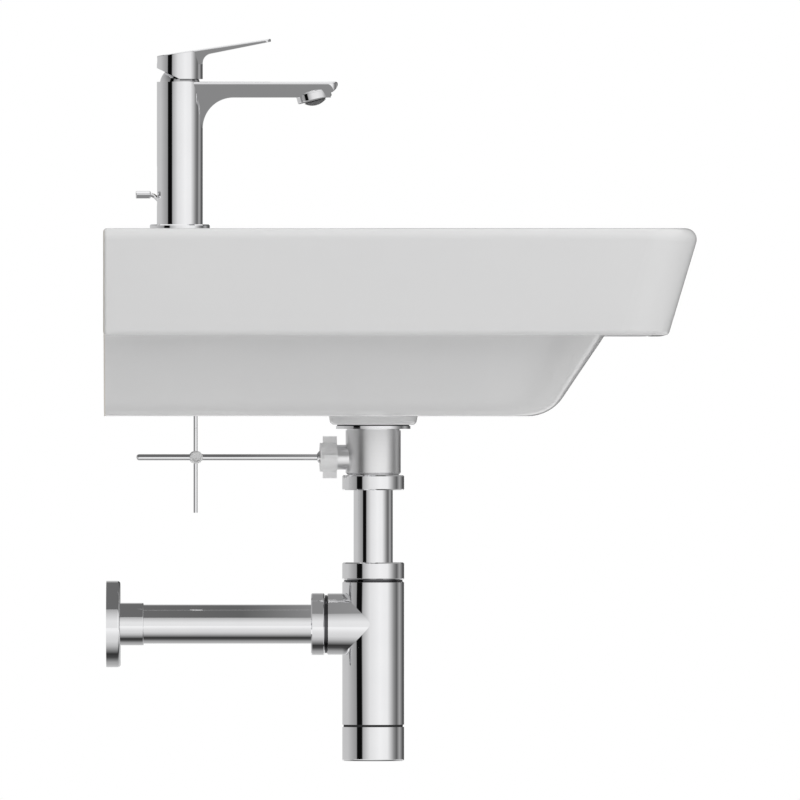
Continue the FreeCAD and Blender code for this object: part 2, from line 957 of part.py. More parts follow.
def make_flanks(label, root, tip, reach, start, fall):
    """A form that runs to the front, with upright top edges and flanks that lean in below them."""
    sections = []
    for (half, top), along in ((root, 0), (tip, reach)):
        low = half - s.flank_lean * (fall - start)
        right = [(half, top + start), (half, top - start), (low, top - fall)]
        sections.append((right + [(-x, up) for x, up in reversed(right)], along))
    return at_tap(lofted(label, sections, ruled=True), 0, TO_FRONT)


def make_spout():
    """The flat spout: its side view swept across, trimmed in plan and by flanks that lean in."""
    half = s.spout_width / 2
    tip_half = s.spout_tip_width / 2
    scoop_start = s.spout_reach - s.spout_scoop_back
    lip = tap_top - s.spout_lip
    foot = spout_under - s.spout_fillet
    side_view = [
        (0, tap_top),
        (0, foot),
        (-tap_radius, foot, "arc", s.spout_fillet, "left"),
        (-(tap_radius + s.spout_fillet), spout_under),
        (-scoop_start, spout_under),
        (-scoop_start, lip - s.spout_scoop_drop, "arc", s.spout_scoop, "right"),
        (-s.spout_reach, lip),
        (-s.spout_reach, tap_top),
    ]
    side = at_tap(padded("spout_side", side_view, s.tap_width, "YZ_Plane", both_ways=True))
    plan_view = [
        (half, 0),
        (tip_half, -s.spout_reach, "round", s.spout_corner),
        (-tip_half, -s.spout_reach, "round", s.spout_corner),
        (-half, 0),
    ]
    plan = at_tap(padded("spout_plan", plan_view, tap_top))
    flanks = make_flanks(
        "spout_flanks",
        (half, tap_top),
        (tip_half, tap_top),
        s.spout_reach,
        s.spout_flank_start,
        tap_top - foot,
    )
    blank = shared("spout_blank", [side, plan, flanks])

    def top_edge(edge):
        return is_level(edge, (rim + tap_top).value) and edge.BoundBox.YMin < -s.tap_depth.value - 1

    return rounded_piece("spout_form", blank, [(s.spout_edge, top_edge)]), flanks


AERATOR_TURN = Rotation(Vector(1, 0, 0), -s.aerator_tilt.value)


def at_aerator(piece, along=0):
    """Put a piece on the aerator's leaning axis, a distance up from its mouth."""
    along = as_size(along)
    depth = s.tap_depth + aerator_reach - along * sine(s.aerator_tilt)
    return place(piece, 0, depth, aerator_up + along * cosine(s.aerator_tilt), AERATOR_TURN)


def make_aerator_boss(flanks):
    """The round boss under the spout's end, with a flare that dies into the spout."""
    radius = s.boss_ring_width / 2
    ring_outline = [
        (0, 0),
        (radius, 0, "round", s.boss_ring_edge),
        (radius, s.boss_ring_height, "round", s.boss_ring_edge),
        (0, s.boss_ring_height),
    ]
    rise = s.boss_flare_height - s.boss_flare
    flare_outline = [
        (0, rise),
        (radius, rise, "arc", s.boss_flare, "right"),
        (radius + s.boss_flare, s.boss_flare_height),
        (0, s.boss_flare_height),
    ]
    ring = at_aerator(turned("boss_ring", ring_outline))
    flare = at_aerator(turned("boss_flare_form", flare_outline))
    return [ring, shared("boss_flare_solid", [flare, flanks])]


def make_waterway():
    """Two drilled ways that meet: one along the spout, one down to the cartridge."""
    turn_depth = s.tap_depth + s.waterway_turn
    run = cylinder("waterway_run", s.spout_waterway, aerator_reach - s.waterway_turn)
    place(run, 0, turn_depth, waterway_up, TO_FRONT)
    back = s.waterway_turn - s.cartridge_width / 2
    tilt = math.degrees(math.atan2(back.value, s.waterway_fall.value))
    fall = cylinder("waterway_slope", s.spout_waterway, root(back * back + s.waterway_fall * s.waterway_fall))
    place(fall, 0, turn_depth, waterway_up, Rotation(Vector(1, 0, 0), tilt - 180))
    return [run, fall]


def make_lift_slot():
    """The upright slot in the column's back that the lift rod rises in."""
    entry = s.knob_up - (s.tap_depth - tap_radius - bend_depth)
    reach = s.lift_rod_width * math.sqrt(0.5) + s.slot_room
    half = s.lift_rod_width / 2 + s.slot_room
    wall = tap_radius - s.tap_cavity_width / 2
    low = entry - wall - reach + half
    high = entry + reach + s.lift_travel - half
    outline = [
        (half, high, "arc", half, "left"),
        (0, high + half, "arc", half, "left"),
        (-half, high),
        (-half, low, "arc", half, "left"),
        (0, low - half, "arc", half, "left"),
        (half, low),
    ]
    slot = padded("lift_slot_room", outline, s.tap_cavity_width / 2, "XZ_Plane")
    return place(slot, 0, s.tap_depth - tap_radius - wall, 0)


def make_tap_body():
    spout, flanks = make_spout()
    solid = fused("tap_solid", [make_tap_column(), spout] + make_aerator_boss(flanks))
    rooms = make_column_rooms()
    rooms.append(at_aerator(cylinder("aerator_socket", s.socket_width, s.socket_depth * 2), -s.socket_depth))
    stud = cylinder("stud_room", s.stud_width + s.thread_room * 2, s.stud_top)
    rooms.append(place(stud, 0, s.tap_depth - s.stud_behind, 0))
    rooms += make_waterway()
    rooms.append(make_lift_slot())
    keep(cut_from("tap_body", solid, rooms))


def make_tap_core():
    """The core under the cartridge that the two hoses screw into."""
    height = cartridge_base - cavity_top
    blank = cylinder("core_blank", s.tap_cavity_width - s.core_room * 2, height)
    at_tap(blank, cavity_top)
    inlets = []
    for name, side in SIDES:
        inlet = cylinder(name + "_inlet_room", s.inlet_hole, height)
        place(inlet, s.inlet_side * side, s.tap_depth - s.inlet_behind, cavity_top)
        inlets.append(inlet)
    keep(cut_from("tap_core", blank, inlets))


def make_tap_base():
    bore = s.spigot_width + s.thread_room * 2
    outline = [
        (bore / 2, s.base_gasket),
        (s.base_ring_width / 2, s.base_gasket),
        (s.base_ring_width / 2, s.base_ring_height, "cut", s.base_ring_edge),
        (bore / 2, s.base_ring_height),
    ]
    keep(at_tap(turned("tap_base_ring", outline)))
    keep(at_tap(tube("tap_base_gasket", s.base_gasket_width, bore, s.base_gasket)))


def make_tap_fixing():
    """The stud, gasket, plate and nut that draw the tap to the deck, all behind the rods and tails."""
    stud_depth = s.tap_depth - s.stud_behind
    stud_hole = s.stud_width + s.thread_room * 2
    stud = cylinder("tap_fixing_stud", s.stud_width, s.stud_length)
    keep(place(stud, 0, stud_depth, s.stud_top - s.stud_length))
    half = s.horseshoe_width / 2
    chord = root(half * half - s.horseshoe_front * s.horseshoe_front)
    outline = [(chord, s.horseshoe_front, "arc", half, "left"), (-chord, s.horseshoe_front)]
    level = -s.deck_thickness
    for label, thickness in (
        ("tap_fixing_gasket", s.horseshoe_gasket),
        ("tap_fixing_plate", s.horseshoe_plate),
    ):
        level = level - thickness
        body = new_body(label)
        sketch = new_sketch(body, "XY_Plane", "outline")
        draw(sketch, outline)
        draw_circle(sketch, 0, s.stud_behind, stud_hole)
        pad(body, sketch, thickness)
        keep(at_tap(body, level))
    corner = s.stud_nut_flats / math.sqrt(3)
    turns = [math.radians(60 * step) for step in range(6)]
    nut = new_body("tap_fixing_nut")
    sketch = new_sketch(nut, "XY_Plane", "outline")
    draw(sketch, [(corner * math.cos(turn), corner * math.sin(turn)) for turn in turns])
    draw_circle(sketch, 0, 0, stud_hole)
    pad(nut, sketch, s.stud_nut_height)
    keep(place(nut, 0, stud_depth, level - s.stud_nut_height))


make_tap_body()
make_tap_core()
make_tap_base()
make_tap_fixing()


# Cartridge and lever
STEM_TURN = Rotation(Vector(1, 0, 0), s.stem_lean.value)


def make_cartridge():
    """The valve cartridge: a cup with ports and a turning carrier."""
    radius = s.cartridge_width / 2
    bore = s.cartridge_bore / 2
    outline = [
        (0, cartridge_base),
        (radius, cartridge_base),
        (radius, cartridge_top),
        (bore, cartridge_top),
        (bore, cartridge_floor),
        (0, cartridge_floor),
    ]
    cup = at_tap(turned("cartridge_cup", outline))
    outlet = cylinder("outlet_port_room", s.spout_waterway, radius)
    ports = [at_tap(outlet, waterway_up - s.waterway_fall, TO_FRONT)]
    for name, side in SIDES:
        port = cylinder(name + "_port_room", s.port_width, cartridge_floor - cartridge_base)
        place(port, s.port_side * side, s.tap_depth - s.inlet_behind, cartridge_base)
        ports.append(port)
    keep(cut_from("cartridge_body", cup, ports))

    foot = cartridge_floor + s.carrier_gap
    blank = at_tap(cylinder("carrier_blank", s.carrier_width, carrier_top - foot), foot)
    slot = block("carrier_slot_room", s.carrier_slot, s.carrier_width, carrier_top - carrier_slot_floor)
    place(slot, -s.carrier_slot / 2, s.tap_depth + s.carrier_width / 2, carrier_slot_floor)
    hole = cylinder("carrier_pin_room", s.pivot_pin + s.pin_fit * 2, s.carrier_width)
    place(hole, -s.carrier_width / 2, s.tap_depth, pivot_up, TO_RIGHT)
    keep(cut_from("cartridge_carrier", blank, [slot, hole]))
    pin = cylinder("cartridge_pin", s.pivot_pin, s.pivot_pin_length)
    keep(place(pin, -s.pivot_pin_length / 2, s.tap_depth, pivot_up, TO_RIGHT))
    nut = tube("cartridge_ring_nut", s.ring_nut_width, s.ring_nut_bore, s.ring_nut_height)
    keep(at_tap(nut, cartridge_top))


def make_dome():
    """The ball-shaped cover that the lever turns and tilts over."""
    mouth = s.dome_mouth / 2
    outer = s.dome_radius
    inner = s.dome_radius - s.dome_wall
    seat = s.ring_nut_width / 2
    shoulder = root(outer * outer - seat * seat)
    foot = cartridge_top + s.ring_nut_height - pivot_up
    outline = [
        (seat, foot),
        (seat, shoulder, "arc", outer, "left"),
        (mouth, root(outer * outer - mouth * mouth)),
        (mouth, root(inner * inner - mouth * mouth), "arc", inner, "right"),
        (inner, 0),
        (inner, foot),
    ]
    keep(at_tap(turned("tap_dome", outline), pivot_up))


def stem_outline(fit, end):
    half = s.stem_depth / 2 + fit
    top = s.stem_above + end
    return [(half, -s.stem_below), (half, top), (-half, top), (-half, -s.stem_below)]


def make_stem():
    """The flat stem that the lever rocks on the carrier's pin."""
    stem = new_body("cartridge_stem")
    sketch = new_sketch(stem, "YZ_Plane", "outline")
    draw(sketch, stem_outline(0, 0))
    draw_circle(sketch, 0, 0, s.pivot_pin + s.pin_room * 2)
    pad(stem, sketch, s.stem_thickness, both_ways=True)
    keep(at_tap(stem, pivot_up, STEM_TURN))


def make_lever():
    """The lever: a round head over the dome and a flat blade that rises to the front."""
    slope = (lever_tip_top - lever_rear_top) / (s.lever_reach + tap_radius)
    root_top = lever_rear_top + slope * (s.blade_root_reach + tap_radius)
    neck = lever_under + s.neck_up
    head_view = [
        (tap_radius, lever_rear_top),
        (tap_radius, lever_rear_under),
        (0, lever_under),
        (-tap_radius, lever_under),
        (-tap_radius, lever_rear_top + slope * s.tap_width),
    ]
    blade_view = [
        (0, lever_rear_top + slope * tap_radius),
        (0, neck),
        (-tap_radius, neck, "arc", s.neck_round, "left"),
        (-s.blade_root_reach, root_top - s.blade_root),
        (-s.lever_reach, lever_tip_top - s.lever_tip),
        (-s.lever_reach, lever_tip_top),
    ]
    head_side = at_tap(padded("lever_head_side", head_view, s.tap_width, "YZ_Plane", both_ways=True))
    drum = at_tap(cylinder("lever_drum", s.tap_width, lever_tip_top))
    head = shared("lever_head", [head_side, drum])
    blade_side = at_tap(padded("lever_blade_side", blade_view, s.blade_width, "YZ_Plane", both_ways=True))
    half = s.blade_width / 2
    tip_half = s.blade_tip_width / 2
    plan_view = [
        (half, 0),
        (tip_half, -s.lever_reach, "round", s.blade_corner),
        (-tip_half, -s.lever_reach, "round", s.blade_corner),
        (-half, 0),
    ]
    plan = at_tap(padded("lever_plan", plan_view, lever_tip_top))
    axis_top = lever_rear_top + slope * tap_radius
    flanks = make_flanks(
        "lever_flanks",
        (half, axis_top),
        (tip_half, lever_tip_top),
        s.lever_reach,
        s.blade_flank_start,
        axis_top - lever_under,
    )
    blade = shared("lever_blade", [blade_side, plan, flanks])
    solid = fused("lever_solid", [head, blade])

    def top_edge(edge):
        for point in (edge.valueAt(edge.FirstParameter), edge.valueAt(edge.LastParameter)):
            ahead = -s.tap_depth.value - point.y
            level = (rim + lever_rear_top + slope * (tap_radius + ahead)).value
            if abs(point.z - level) > 0.01:
                return False
        return True

    smooth = rounded_piece("lever_smooth", solid, [(s.blade_edge, top_edge)])
    hollow = at_tap(ball("lever_hollow", s.dome_radius + s.lever_gap), pivot_up)
    socket_width = s.stem_thickness + s.lever_fit * 2
    socket = padded(
        "stem_socket", stem_outline(s.lever_fit, s.socket_end), socket_width, "YZ_Plane", both_ways=True
    )
    at_tap(socket, pivot_up, STEM_TURN)
    screw_room = at_tap(cylinder("grub_room", s.grub_width, tap_radius), grub_up, TO_WALL)
    cap_start = tap_radius - s.screw_cap_length - s.screw_cap_sunk
    cap_room = cylinder("cap_room", s.screw_cap_width, s.screw_cap_length * 2)
    place(cap_room, 0, s.tap_depth - cap_start, grub_up, TO_WALL)
    keep(cut_from("tap_lever", smooth, [hollow, socket, screw_room, cap_room]))

    grub = cylinder("lever_grub_screw", s.grub_width, s.grub_length)
    keep(place(grub, 0, s.tap_depth - s.grub_gap, grub_up, TO_WALL))
    cap = cylinder("lever_screw_cap", s.screw_cap_width, s.screw_cap_length)
    keep(place(cap, 0, s.tap_depth - cap_start, grub_up, TO_WALL))


make_cartridge()
make_dome()
make_stem()
make_lever()


# Aerator
def make_aerator():
    """A threaded ring, a ball-faced swivel that holds the insert, and a seal."""
    centre = s.swivel_centre
    seat = s.swivel_radius + s.swivel_gap
    low = s.aerator_ring_start
    high = s.aerator_ring_start + s.aerator_ring_height
    outer = s.aerator_ring_width / 2
    ring_outline = [
        (root(seat * seat - (centre - low) * (centre - low)), low),
        (outer, low),
        (outer, high),
        (root(seat * seat - (high - centre) * (high - centre)), high, "arc", seat, "right"),
    ]
    keep(at_aerator(turned("aerator_ring", ring_outline)))

    radius = s.swivel_radius
    edge = root(radius * radius - centre * centre)
    dome = (edge * edge + s.aerator_bulge * s.aerator_bulge) / (s.aerator_bulge * 2)

    def dome_drop(reach):
        return root(dome * dome - reach * reach) - (dome - s.aerator_bulge)

    bore = s.swivel_mouth / 2
    rise = s.swivel_top - centre
    swivel_outline = [
        (bore, -dome_drop(bore), "arc", dome, "left"),
        (edge, 0, "arc", radius, "left"),
        (root(radius * radius - rise * rise), s.swivel_top),
        (bore, s.swivel_top),
    ]
    keep(at_aerator(turned("aerator_swivel", swivel_outline)))
    insert = s.aerator_insert_width / 2
    insert_outline = [
        (0, -s.aerator_bulge, "arc", dome, "left"),
        (insert, -dome_drop(insert)),
        (insert, s.aerator_insert_top),
        (0, s.aerator_insert_top),
    ]
    keep(at_aerator(turned("aerator_insert", insert_outline)))
    seal = tube("aerator_seal", s.aerator_seal_width, s.aerator_seal_bore, s.aerator_seal_height)
    keep(at_aerator(seal, s.aerator_seal_start))


make_aerator()


# Pop-up linkage
yaw_sine = s.rod_offset / (s.waste_depth - lift_depth)
yaw_cosine = root(1 - yaw_sine * yaw_sine)
YAW = Rotation(Vector(0, 0, 1), math.degrees(math.asin(yaw_sine.value)))
ALONG_ROD = YAW.multiply(TO_WALL)
ACROSS_ROD = YAW.multiply(TO_RIGHT)


def at_rod(piece, along=0, turn=ALONG_ROD):
    """Put a piece on the ball rod's axis, a distance from the waste's axis toward the wall."""
    along = as_size(along)
    return place(piece, -along * yaw_sine, s.waste_depth - along * yaw_cosine, -s.rod_level, turn)


def at_clamp(piece, across=0, turn=ACROSS_ROD, up=0):
    """Put a piece on the clamp's axis, which crosses the lift rod level with the ball rod."""
    across = as_size(across)
    return place(piece, across * yaw_cosine, lift_depth - across * yaw_sine, up - s.rod_level, turn)


def make_lift_rod():
    """The lift rod, bent twice by half a right angle, and its knob."""
    corner_up = s.knob_up - (lift_depth - bend_depth)
    tangent = s.lift_bend_round * math.tan(math.radians(22.5))
    leg = tangent * math.sqrt(0.5)
    start_depth = knob_depth + s.knob_blind
    path_points = [
        (-start_depth, s.knob_up),
        (tangent - bend_depth, s.knob_up, "arc", s.lift_bend_round, "left"),
        (-bend_depth - leg, s.knob_up - leg),
        (leg - lift_depth, corner_up + leg, "arc", s.lift_bend_round, "left"),
        (-lift_depth, corner_up - tangent),
        (-lift_depth, -s.lift_rod_end),
    ]
    body = new_body("lift_rod")
    path = new_sketch(body, "YZ_Plane", "path")
    draw(path, path_points, closed=False)
    section = new_sketch(body, "XZ_Plane", "section")
    section.setExpression("AttachmentOffset.Base.z", start_depth.text)
    draw_circle(section, 0, s.knob_up, s.lift_rod_width)
    sweep = body.newObject("PartDesign::AdditivePipe", "lift_rod_sweep")
    sweep.Profile = (section, [""])
    sweep.Spine = (path, ["Edge%d" % (i + 1) for i in range(len(path_points) - 1)])
    keep(place(body))

    radius = s.knob_width / 2
    bore = s.lift_rod_width / 2 + s.rod_fit
    knob = [
        (0, 0),
        (radius, 0, "round", s.knob_edge),
        (radius, s.knob_length, "round", s.knob_edge),
        (bore, s.knob_length),
        (bore, s.knob_blind),
        (0, s.knob_blind),
    ]
    keep(place(turned("lift_knob", knob), 0, knob_depth, s.knob_up, TO_FRONT))


def make_clamps():
    """The two halves of the clamp, which turn on each other, and their screws."""
    spigot = s.clamp_spigot
    bore = s.lift_rod_width + s.rod_fit * 2
    far_length = s.clamp_near + s.clamp_far
    far = at_clamp(cylinder("far_blank", s.clamp_width, far_length), -s.clamp_near)
    rod_room = cylinder("lift_rod_room", bore, s.clamp_width)
    place(rod_room, 0, lift_depth, -s.rod_level - s.clamp_width / 2)
    recess_depth = s.clamp_spigot_length + s.rod_fit
    recess = at_clamp(cylinder("spigot_room", spigot + s.rod_fit * 2, recess_depth), -s.clamp_near)
    screw_room = at_clamp(cylinder("set_screw_room", s.set_screw_width + s.rod_fit * 2, s.clamp_far))
    keep(cut_from("lift_rod_clamp", far, [rod_room, recess, screw_room]))
    screw_start = bore / 2
    set_screw = cylinder("clamp_set_screw", s.set_screw_width, s.clamp_far + s.set_screw_proud - screw_start)
    keep(at_clamp(set_screw, screw_start))

    inner = s.clamp_near + s.clamp_gap
    near = at_clamp(cylinder("near_blank", s.clamp_width, s.clamp_outer - inner), -s.clamp_outer)
    peg_length = s.clamp_spigot_length + s.clamp_gap
    peg = at_clamp(cylinder("clamp_peg", spigot, peg_length + s.clamp_gap), -inner - s.clamp_gap)
    ball_rod_room = cylinder("ball_rod_room", s.rod_width + s.clamp_room * 2, s.clamp_width * 2)
    crossing = (s.waste_depth - lift_depth) * yaw_cosine
    at_rod(ball_rod_room, crossing - s.clamp_width)
    shank_width = s.thumbscrew_shank
    shank_room = cylinder("shank_room", shank_width + s.rod_fit * 2, s.thumbscrew_shank_length)
    at_clamp(shank_room, -s.clamp_outer)
    whole = fused("near_solid", [near, peg])
    keep(cut_from("rod_clamp", whole, [ball_rod_room, shank_room]))

    head_radius = s.thumbscrew_width / 2
    boss_end = s.thumbscrew_head + s.thumbscrew_boss_height
    outline = [
        (0, 0),
        (head_radius, 0, "cut", s.thumbscrew_edge),
        (head_radius, s.thumbscrew_head, "cut", s.thumbscrew_edge),
        (s.thumbscrew_boss / 2, s.thumbscrew_head),
        (s.thumbscrew_boss / 2, boss_end),
        (shank_width / 2, boss_end),
        (shank_width / 2, boss_end + s.thumbscrew_shank_length),
        (0, boss_end + s.thumbscrew_shank_length),
    ]
    head_start = s.clamp_outer + boss_end
    blank = at_clamp(turned("thumbscrew_blank", outline), -head_start)
    scallops = []
    count = int(s.scallop_count.value)
    for step in range(count):
        turn = 2 * math.pi * step / count
        scallop = cylinder("scallop_%d" % step, s.scallop_width, s.thumbscrew_head)
        side = head_radius * math.cos(turn)
        rise = head_radius * math.sin(turn)
        x = -head_start * yaw_cosine - side * yaw_sine
        depth = lift_depth + head_start * yaw_sine - side * yaw_cosine
        scallops.append(place(scallop, x, depth, rise - s.rod_level, ACROSS_ROD))
    keep(cut_from("clamp_thumbscrew", blank, scallops))


def make_ball_rod():
    radius = s.rod_width / 2
    length = (s.waste_depth - s.rod_end_depth) / yaw_cosine + s.rod_inner_end
    outline = [
        (0, 0),
        (radius, 0),
        (radius, length - radius, "arc", radius, "left"),
        (0, length),
    ]
    keep(at_rod(turned("ball_rod", outline), -s.rod_inner_end))
    bore = cylinder("ball_bore", s.rod_width + s.rod_fit * 2, s.ball_width * 2)
    at_rod(bore, s.ball_arm - s.ball_width)
    keep(cut_from("pivot_ball", at_rod(ball("ball_blank", s.ball_width / 2), s.ball_arm), [bore]))


make_lift_rod()
make_clamps()
make_ball_rod()


# Pop-up waste
flange_under = s.flange_seal - bowl_depth - s.drain_recess_depth
flange_top = flange_under + s.flange_thickness
basin_foot = -s.basin_height - s.boss_height
waste_top = basin_foot - s.waste_seal - s.washer_thickness
waste_foot = waste_top - s.waste_length
tail_spigot = s.tail_nut_gap + s.tail_nut_height - s.nut_face - s.slip_seal
spigot_foot = waste_foot - tail_spigot
chamber_floor = spigot_foot + s.spigot_bore_depth
ball_seat_radius = s.ball_width / 2 + s.ball_gap


def at_waste(piece, up=0, turn=UP):
    """Put a piece on the waste's upright axis."""
    return place(piece, 0, s.waste_depth, up, turn)


def make_flange():
    """The waste's flange and threaded tail, with its seals and the washer under the basin."""
    bore = s.flange_bore / 2
    tail = s.tail_width / 2
    outline = [
        (bore, flange_under - s.tail_length),
        (tail, flange_under - s.tail_length),
        (tail, flange_under),
        (s.flange_width / 2, flange_under),
        (s.flange_width / 2, flange_top),
        (s.flange_seat_width / 2, flange_top),
        (bore, flange_top - s.flange_seat_drop),
    ]
    blank = at_waste(turned("flange_blank", outline))
    level = -bowl_depth - s.overflow_run_below
    rooms = []
    for name, turn in (("across", 0), ("along", 90)):
        window = block("window_" + name, s.window_width, s.flange_width, s.window_height)
        half_x, half_y = s.window_width / 2, s.flange_width / 2
        if turn:
            window.setExpression("Length", s.flange_width.text)
            window.setExpression("Width", s.window_width.text)
            half_x, half_y = half_y, half_x
        rooms.append(place(window, -half_x, s.waste_depth + half_y, level - s.window_height / 2))
    keep(cut_from("waste_flange", blank, rooms))

    tail_bore = s.tail_width + s.thread_room * 2
    upper = tube("waste_flange_seal", s.flange_width, tail_bore, s.flange_seal)
    keep(at_waste(upper, flange_under - s.flange_seal))
    lower = tube("waste_seal", s.waste_seal_width, tail_bore, s.waste_seal)
    keep(at_waste(lower, basin_foot - s.waste_seal))
    keep(at_waste(tube("waste_washer", s.washer_width, tail_bore, s.washer_thickness), waste_top))


def make_waste_body():
    """The waste's body with the branch that the ball rod enters by."""
    radius = s.waste_width / 2
    tail_bore = s.tail_width / 2 + s.thread_room
    chamber = s.waste_chamber / 2
    pipe_bore = s.pipe_width / 2 + s.pipe_room
    roof = waste_top - s.waste_chamber_roof
    outline = [
        (tail_bore, waste_top),
        (tail_bore, roof),
        (chamber, roof),
        (chamber, chamber_floor),
        (pipe_bore, chamber_floor),
        (pipe_bore, spigot_foot),
        (s.tail_width / 2, spigot_foot),
        (s.tail_width / 2, waste_foot),
        (radius, waste_foot, "cut", s.waste_edge),
        (radius, waste_top - s.waste_neck),
        (s.waste_neck_width / 2, waste_top - s.waste_neck),
        (s.waste_neck_width / 2, waste_top),
    ]
    shell = at_waste(turned("waste_shell", outline))
    branch = at_rod(cylinder("branch_outer", s.branch_width, s.branch_length))
    core = at_waste(cylinder("waste_core", s.waste_chamber, s.waste_length), waste_foot)
    arm = cut_from("branch_arm", branch, [core])
    solid = fused("waste_solid", [shell, arm])
    tail_room = at_waste(cylinder("tail_room", tail_bore * 2, s.waste_chamber_roof), roof)
    way = at_rod(cylinder("branch_way", s.branch_bore, s.branch_length))
    seat_room = cylinder("ball_seat_room", s.ball_seat_width + s.thread_room, s.branch_length)
    at_rod(seat_room, s.ball_seat_start)
    keep(cut_from("waste_body", solid, [tail_room, way, seat_room]))


def make_ball_holders():
    """The seat behind the ball and the winged nut that holds it."""
    centre = s.ball_arm
    radius = ball_seat_radius
    bore = s.ball_seat_bore / 2
    seat_end = s.ball_seat_start + s.ball_seat_length
    back = centre - seat_end
    seat_outline = [
        (bore, s.ball_seat_start),
        (s.ball_seat_width / 2, s.ball_seat_start),
        (s.ball_seat_width / 2, seat_end),
        (root(radius * radius - back * back), seat_end, "arc", radius, "left"),
        (bore, centre - root(radius * radius - bore * bore)),
    ]
    keep(at_rod(turned("ball_seat", seat_outline)))

    nut_end = s.ball_nut_start + s.ball_nut_length
    ahead = nut_end - centre
    shelf = s.branch_length + s.ball_nut_room
    thread = s.branch_width / 2 + s.thread_room
    core = s.ball_nut_width / 2
    nut_outline = [
        (thread, s.ball_nut_start),
        (core, s.ball_nut_start),
        (core, nut_end),
        (root(radius * radius - ahead * ahead), nut_end, "arc", radius, "right"),
        (radius, centre),
        (radius, shelf),
        (thread, shelf),
    ]
    shell = at_rod(turned("ball_nut_shell", nut_outline))
    wings = []
    count = int(s.wing_count.value) // 2
    for step in range(count):
        turn = 180 * step / count
        wing = new_body("wing_%d" % step)
        sketch = new_sketch(wing, "XY_Plane", "outline")
        half, side = s.wing_width / 2, s.wing_thickness / 2
        draw(sketch, [(half, -side), (half, side), (-half, side), (-half, -side)])
        pad(wing, sketch, s.wing_length)
        wings.append(at_rod(wing, s.ball_nut_start, ALONG_ROD.multiply(Rotation(Vector(0, 0, 1), turn))))
    room_width = s.ball_nut_width - s.wing_thickness / 2
    room = at_rod(cylinder("wing_room", room_width, s.ball_nut_length), s.ball_nut_start)
    blades = cut_from("ball_nut_wings", fused("ball_nut_cross", wings), [room])
    keep(fused("ball_nut", [shell, blades]))


def make_plug():
    """The plug with its seal and the finned stem that rests on the ball rod."""
    rest = flange_top + s.plug_seat_gap + s.plug_rise
    radius = s.plug_width / 2
    boss = s.plug_boss_width / 2
    stem = s.plug_stem_width / 2
    bore = stem + s.thread_room
    top = s.plug_thickness
    edge = top - s.plug_crown
    crown = (radius * radius + s.plug_crown * s.plug_crown) / (s.plug_crown * 2)
    foot = -s.plug_boss_length
    outline = [
        (bore, foot),
        (boss, foot),
        (boss, 0),
        (radius, 0),
        (radius, edge, "arc", crown, "left"),
        (0, top),
        (0, edge),
        (bore, edge),
    ]
    keep(at_waste(turned("plug", outline), rest))
    seal_bore = s.plug_boss_width + s.thread_room * 2
    seal = tube("plug_seal", s.plug_seal_width, seal_bore, s.plug_seal_height)
    keep(at_waste(seal, rest - s.plug_seal_height))

    stem_foot = s.plug_rod_gap + s.rod_width / 2 - s.rod_level - rest
    tip = s.plug_tip_round
    stem_outline_points = [
        (0, stem_foot),
        (stem - tip, stem_foot, "arc", tip, "left"),
        (stem, stem_foot + tip),
        (stem, edge),
        (0, edge),
    ]
    shaft = at_waste(turned("stem_shaft", stem_outline_points), rest)
    fins = []
    count = int(s.fin_count.value)
    for step in range(count):
        fin = new_body("fin_%d" % step)
        sketch = new_sketch(fin, "XY_Plane", "outline")
        side = s.fin_thickness / 2
        draw(sketch, [(0, -side), (s.fin_reach, -side), (s.fin_reach, side), (0, side)])
        pad(fin, sketch, s.fin_length)
        level = rest + foot - s.fin_start - s.fin_length
        fins.append(at_waste(fin, level, Rotation(Vector(0, 0, 1), 360 * step / count)))
    keep(fused("plug_stem", [shaft] + fins))


make_flange()
make_waste_body()
make_ball_holders()
make_plug()


# Bottle trap
pipe_hole = s.pipe_width + s.pipe_room * 2
trap_top = -s.trap_nut_drop - s.trap_nut_height - s.trap_groove
trap_foot = trap_top - s.trap_body_length
neck_spigot = s.trap_nut_height + s.trap_groove - s.nut_face - s.slip_seal
outlet_spigot = s.outlet_nut_length + s.outlet_groove - s.nut_face - s.slip_seal


def make_slip_nut(label, length, thread_width):
    """A nut with its pipe hole at the far end of its own axis and its thread at the near end."""
    radius = s.slip_nut_width / 2
    thread = thread_width / 2 + s.thread_room
    shelf = length - s.nut_face
    outline = [
        (thread, 0),
        (radius, 0, "cut", s.slip_nut_edge),
        (radius, length, "cut", s.slip_nut_edge),
        (pipe_hole / 2, length),
        (pipe_hole / 2, shelf),
        (thread, shelf),
    ]
    return turned(label, outline)


def slip_seal(label, thread_width):
    return tube(label, thread_width, pipe_hole, s.slip_seal)


def make_tail():
    """The nut and seal under the waste, and the pipe that dips into the trap."""
    nut = make_slip_nut("tail_nut", s.tail_nut_height, s.tail_width)
    keep(at_waste(nut, waste_foot - s.tail_nut_gap, DOWN))
    keep(at_waste(slip_seal("tail_seal", s.tail_width), spigot_foot - s.slip_seal))
    pipe_top = chamber_floor - s.pipe_end_room
    bore = s.pipe_width - s.pipe_wall * 2
    keep(at_waste(tube("dip_pipe", s.pipe_width, bore, pipe_top + s.dip_end), -s.dip_end))


def at_outlet(piece, along=0):
    """Put a piece on the outlet's level axis, a distance from the trap's axis toward the wall."""
    return place(piece, 0, s.waste_depth - along, -s.branch_drop, TO_WALL)


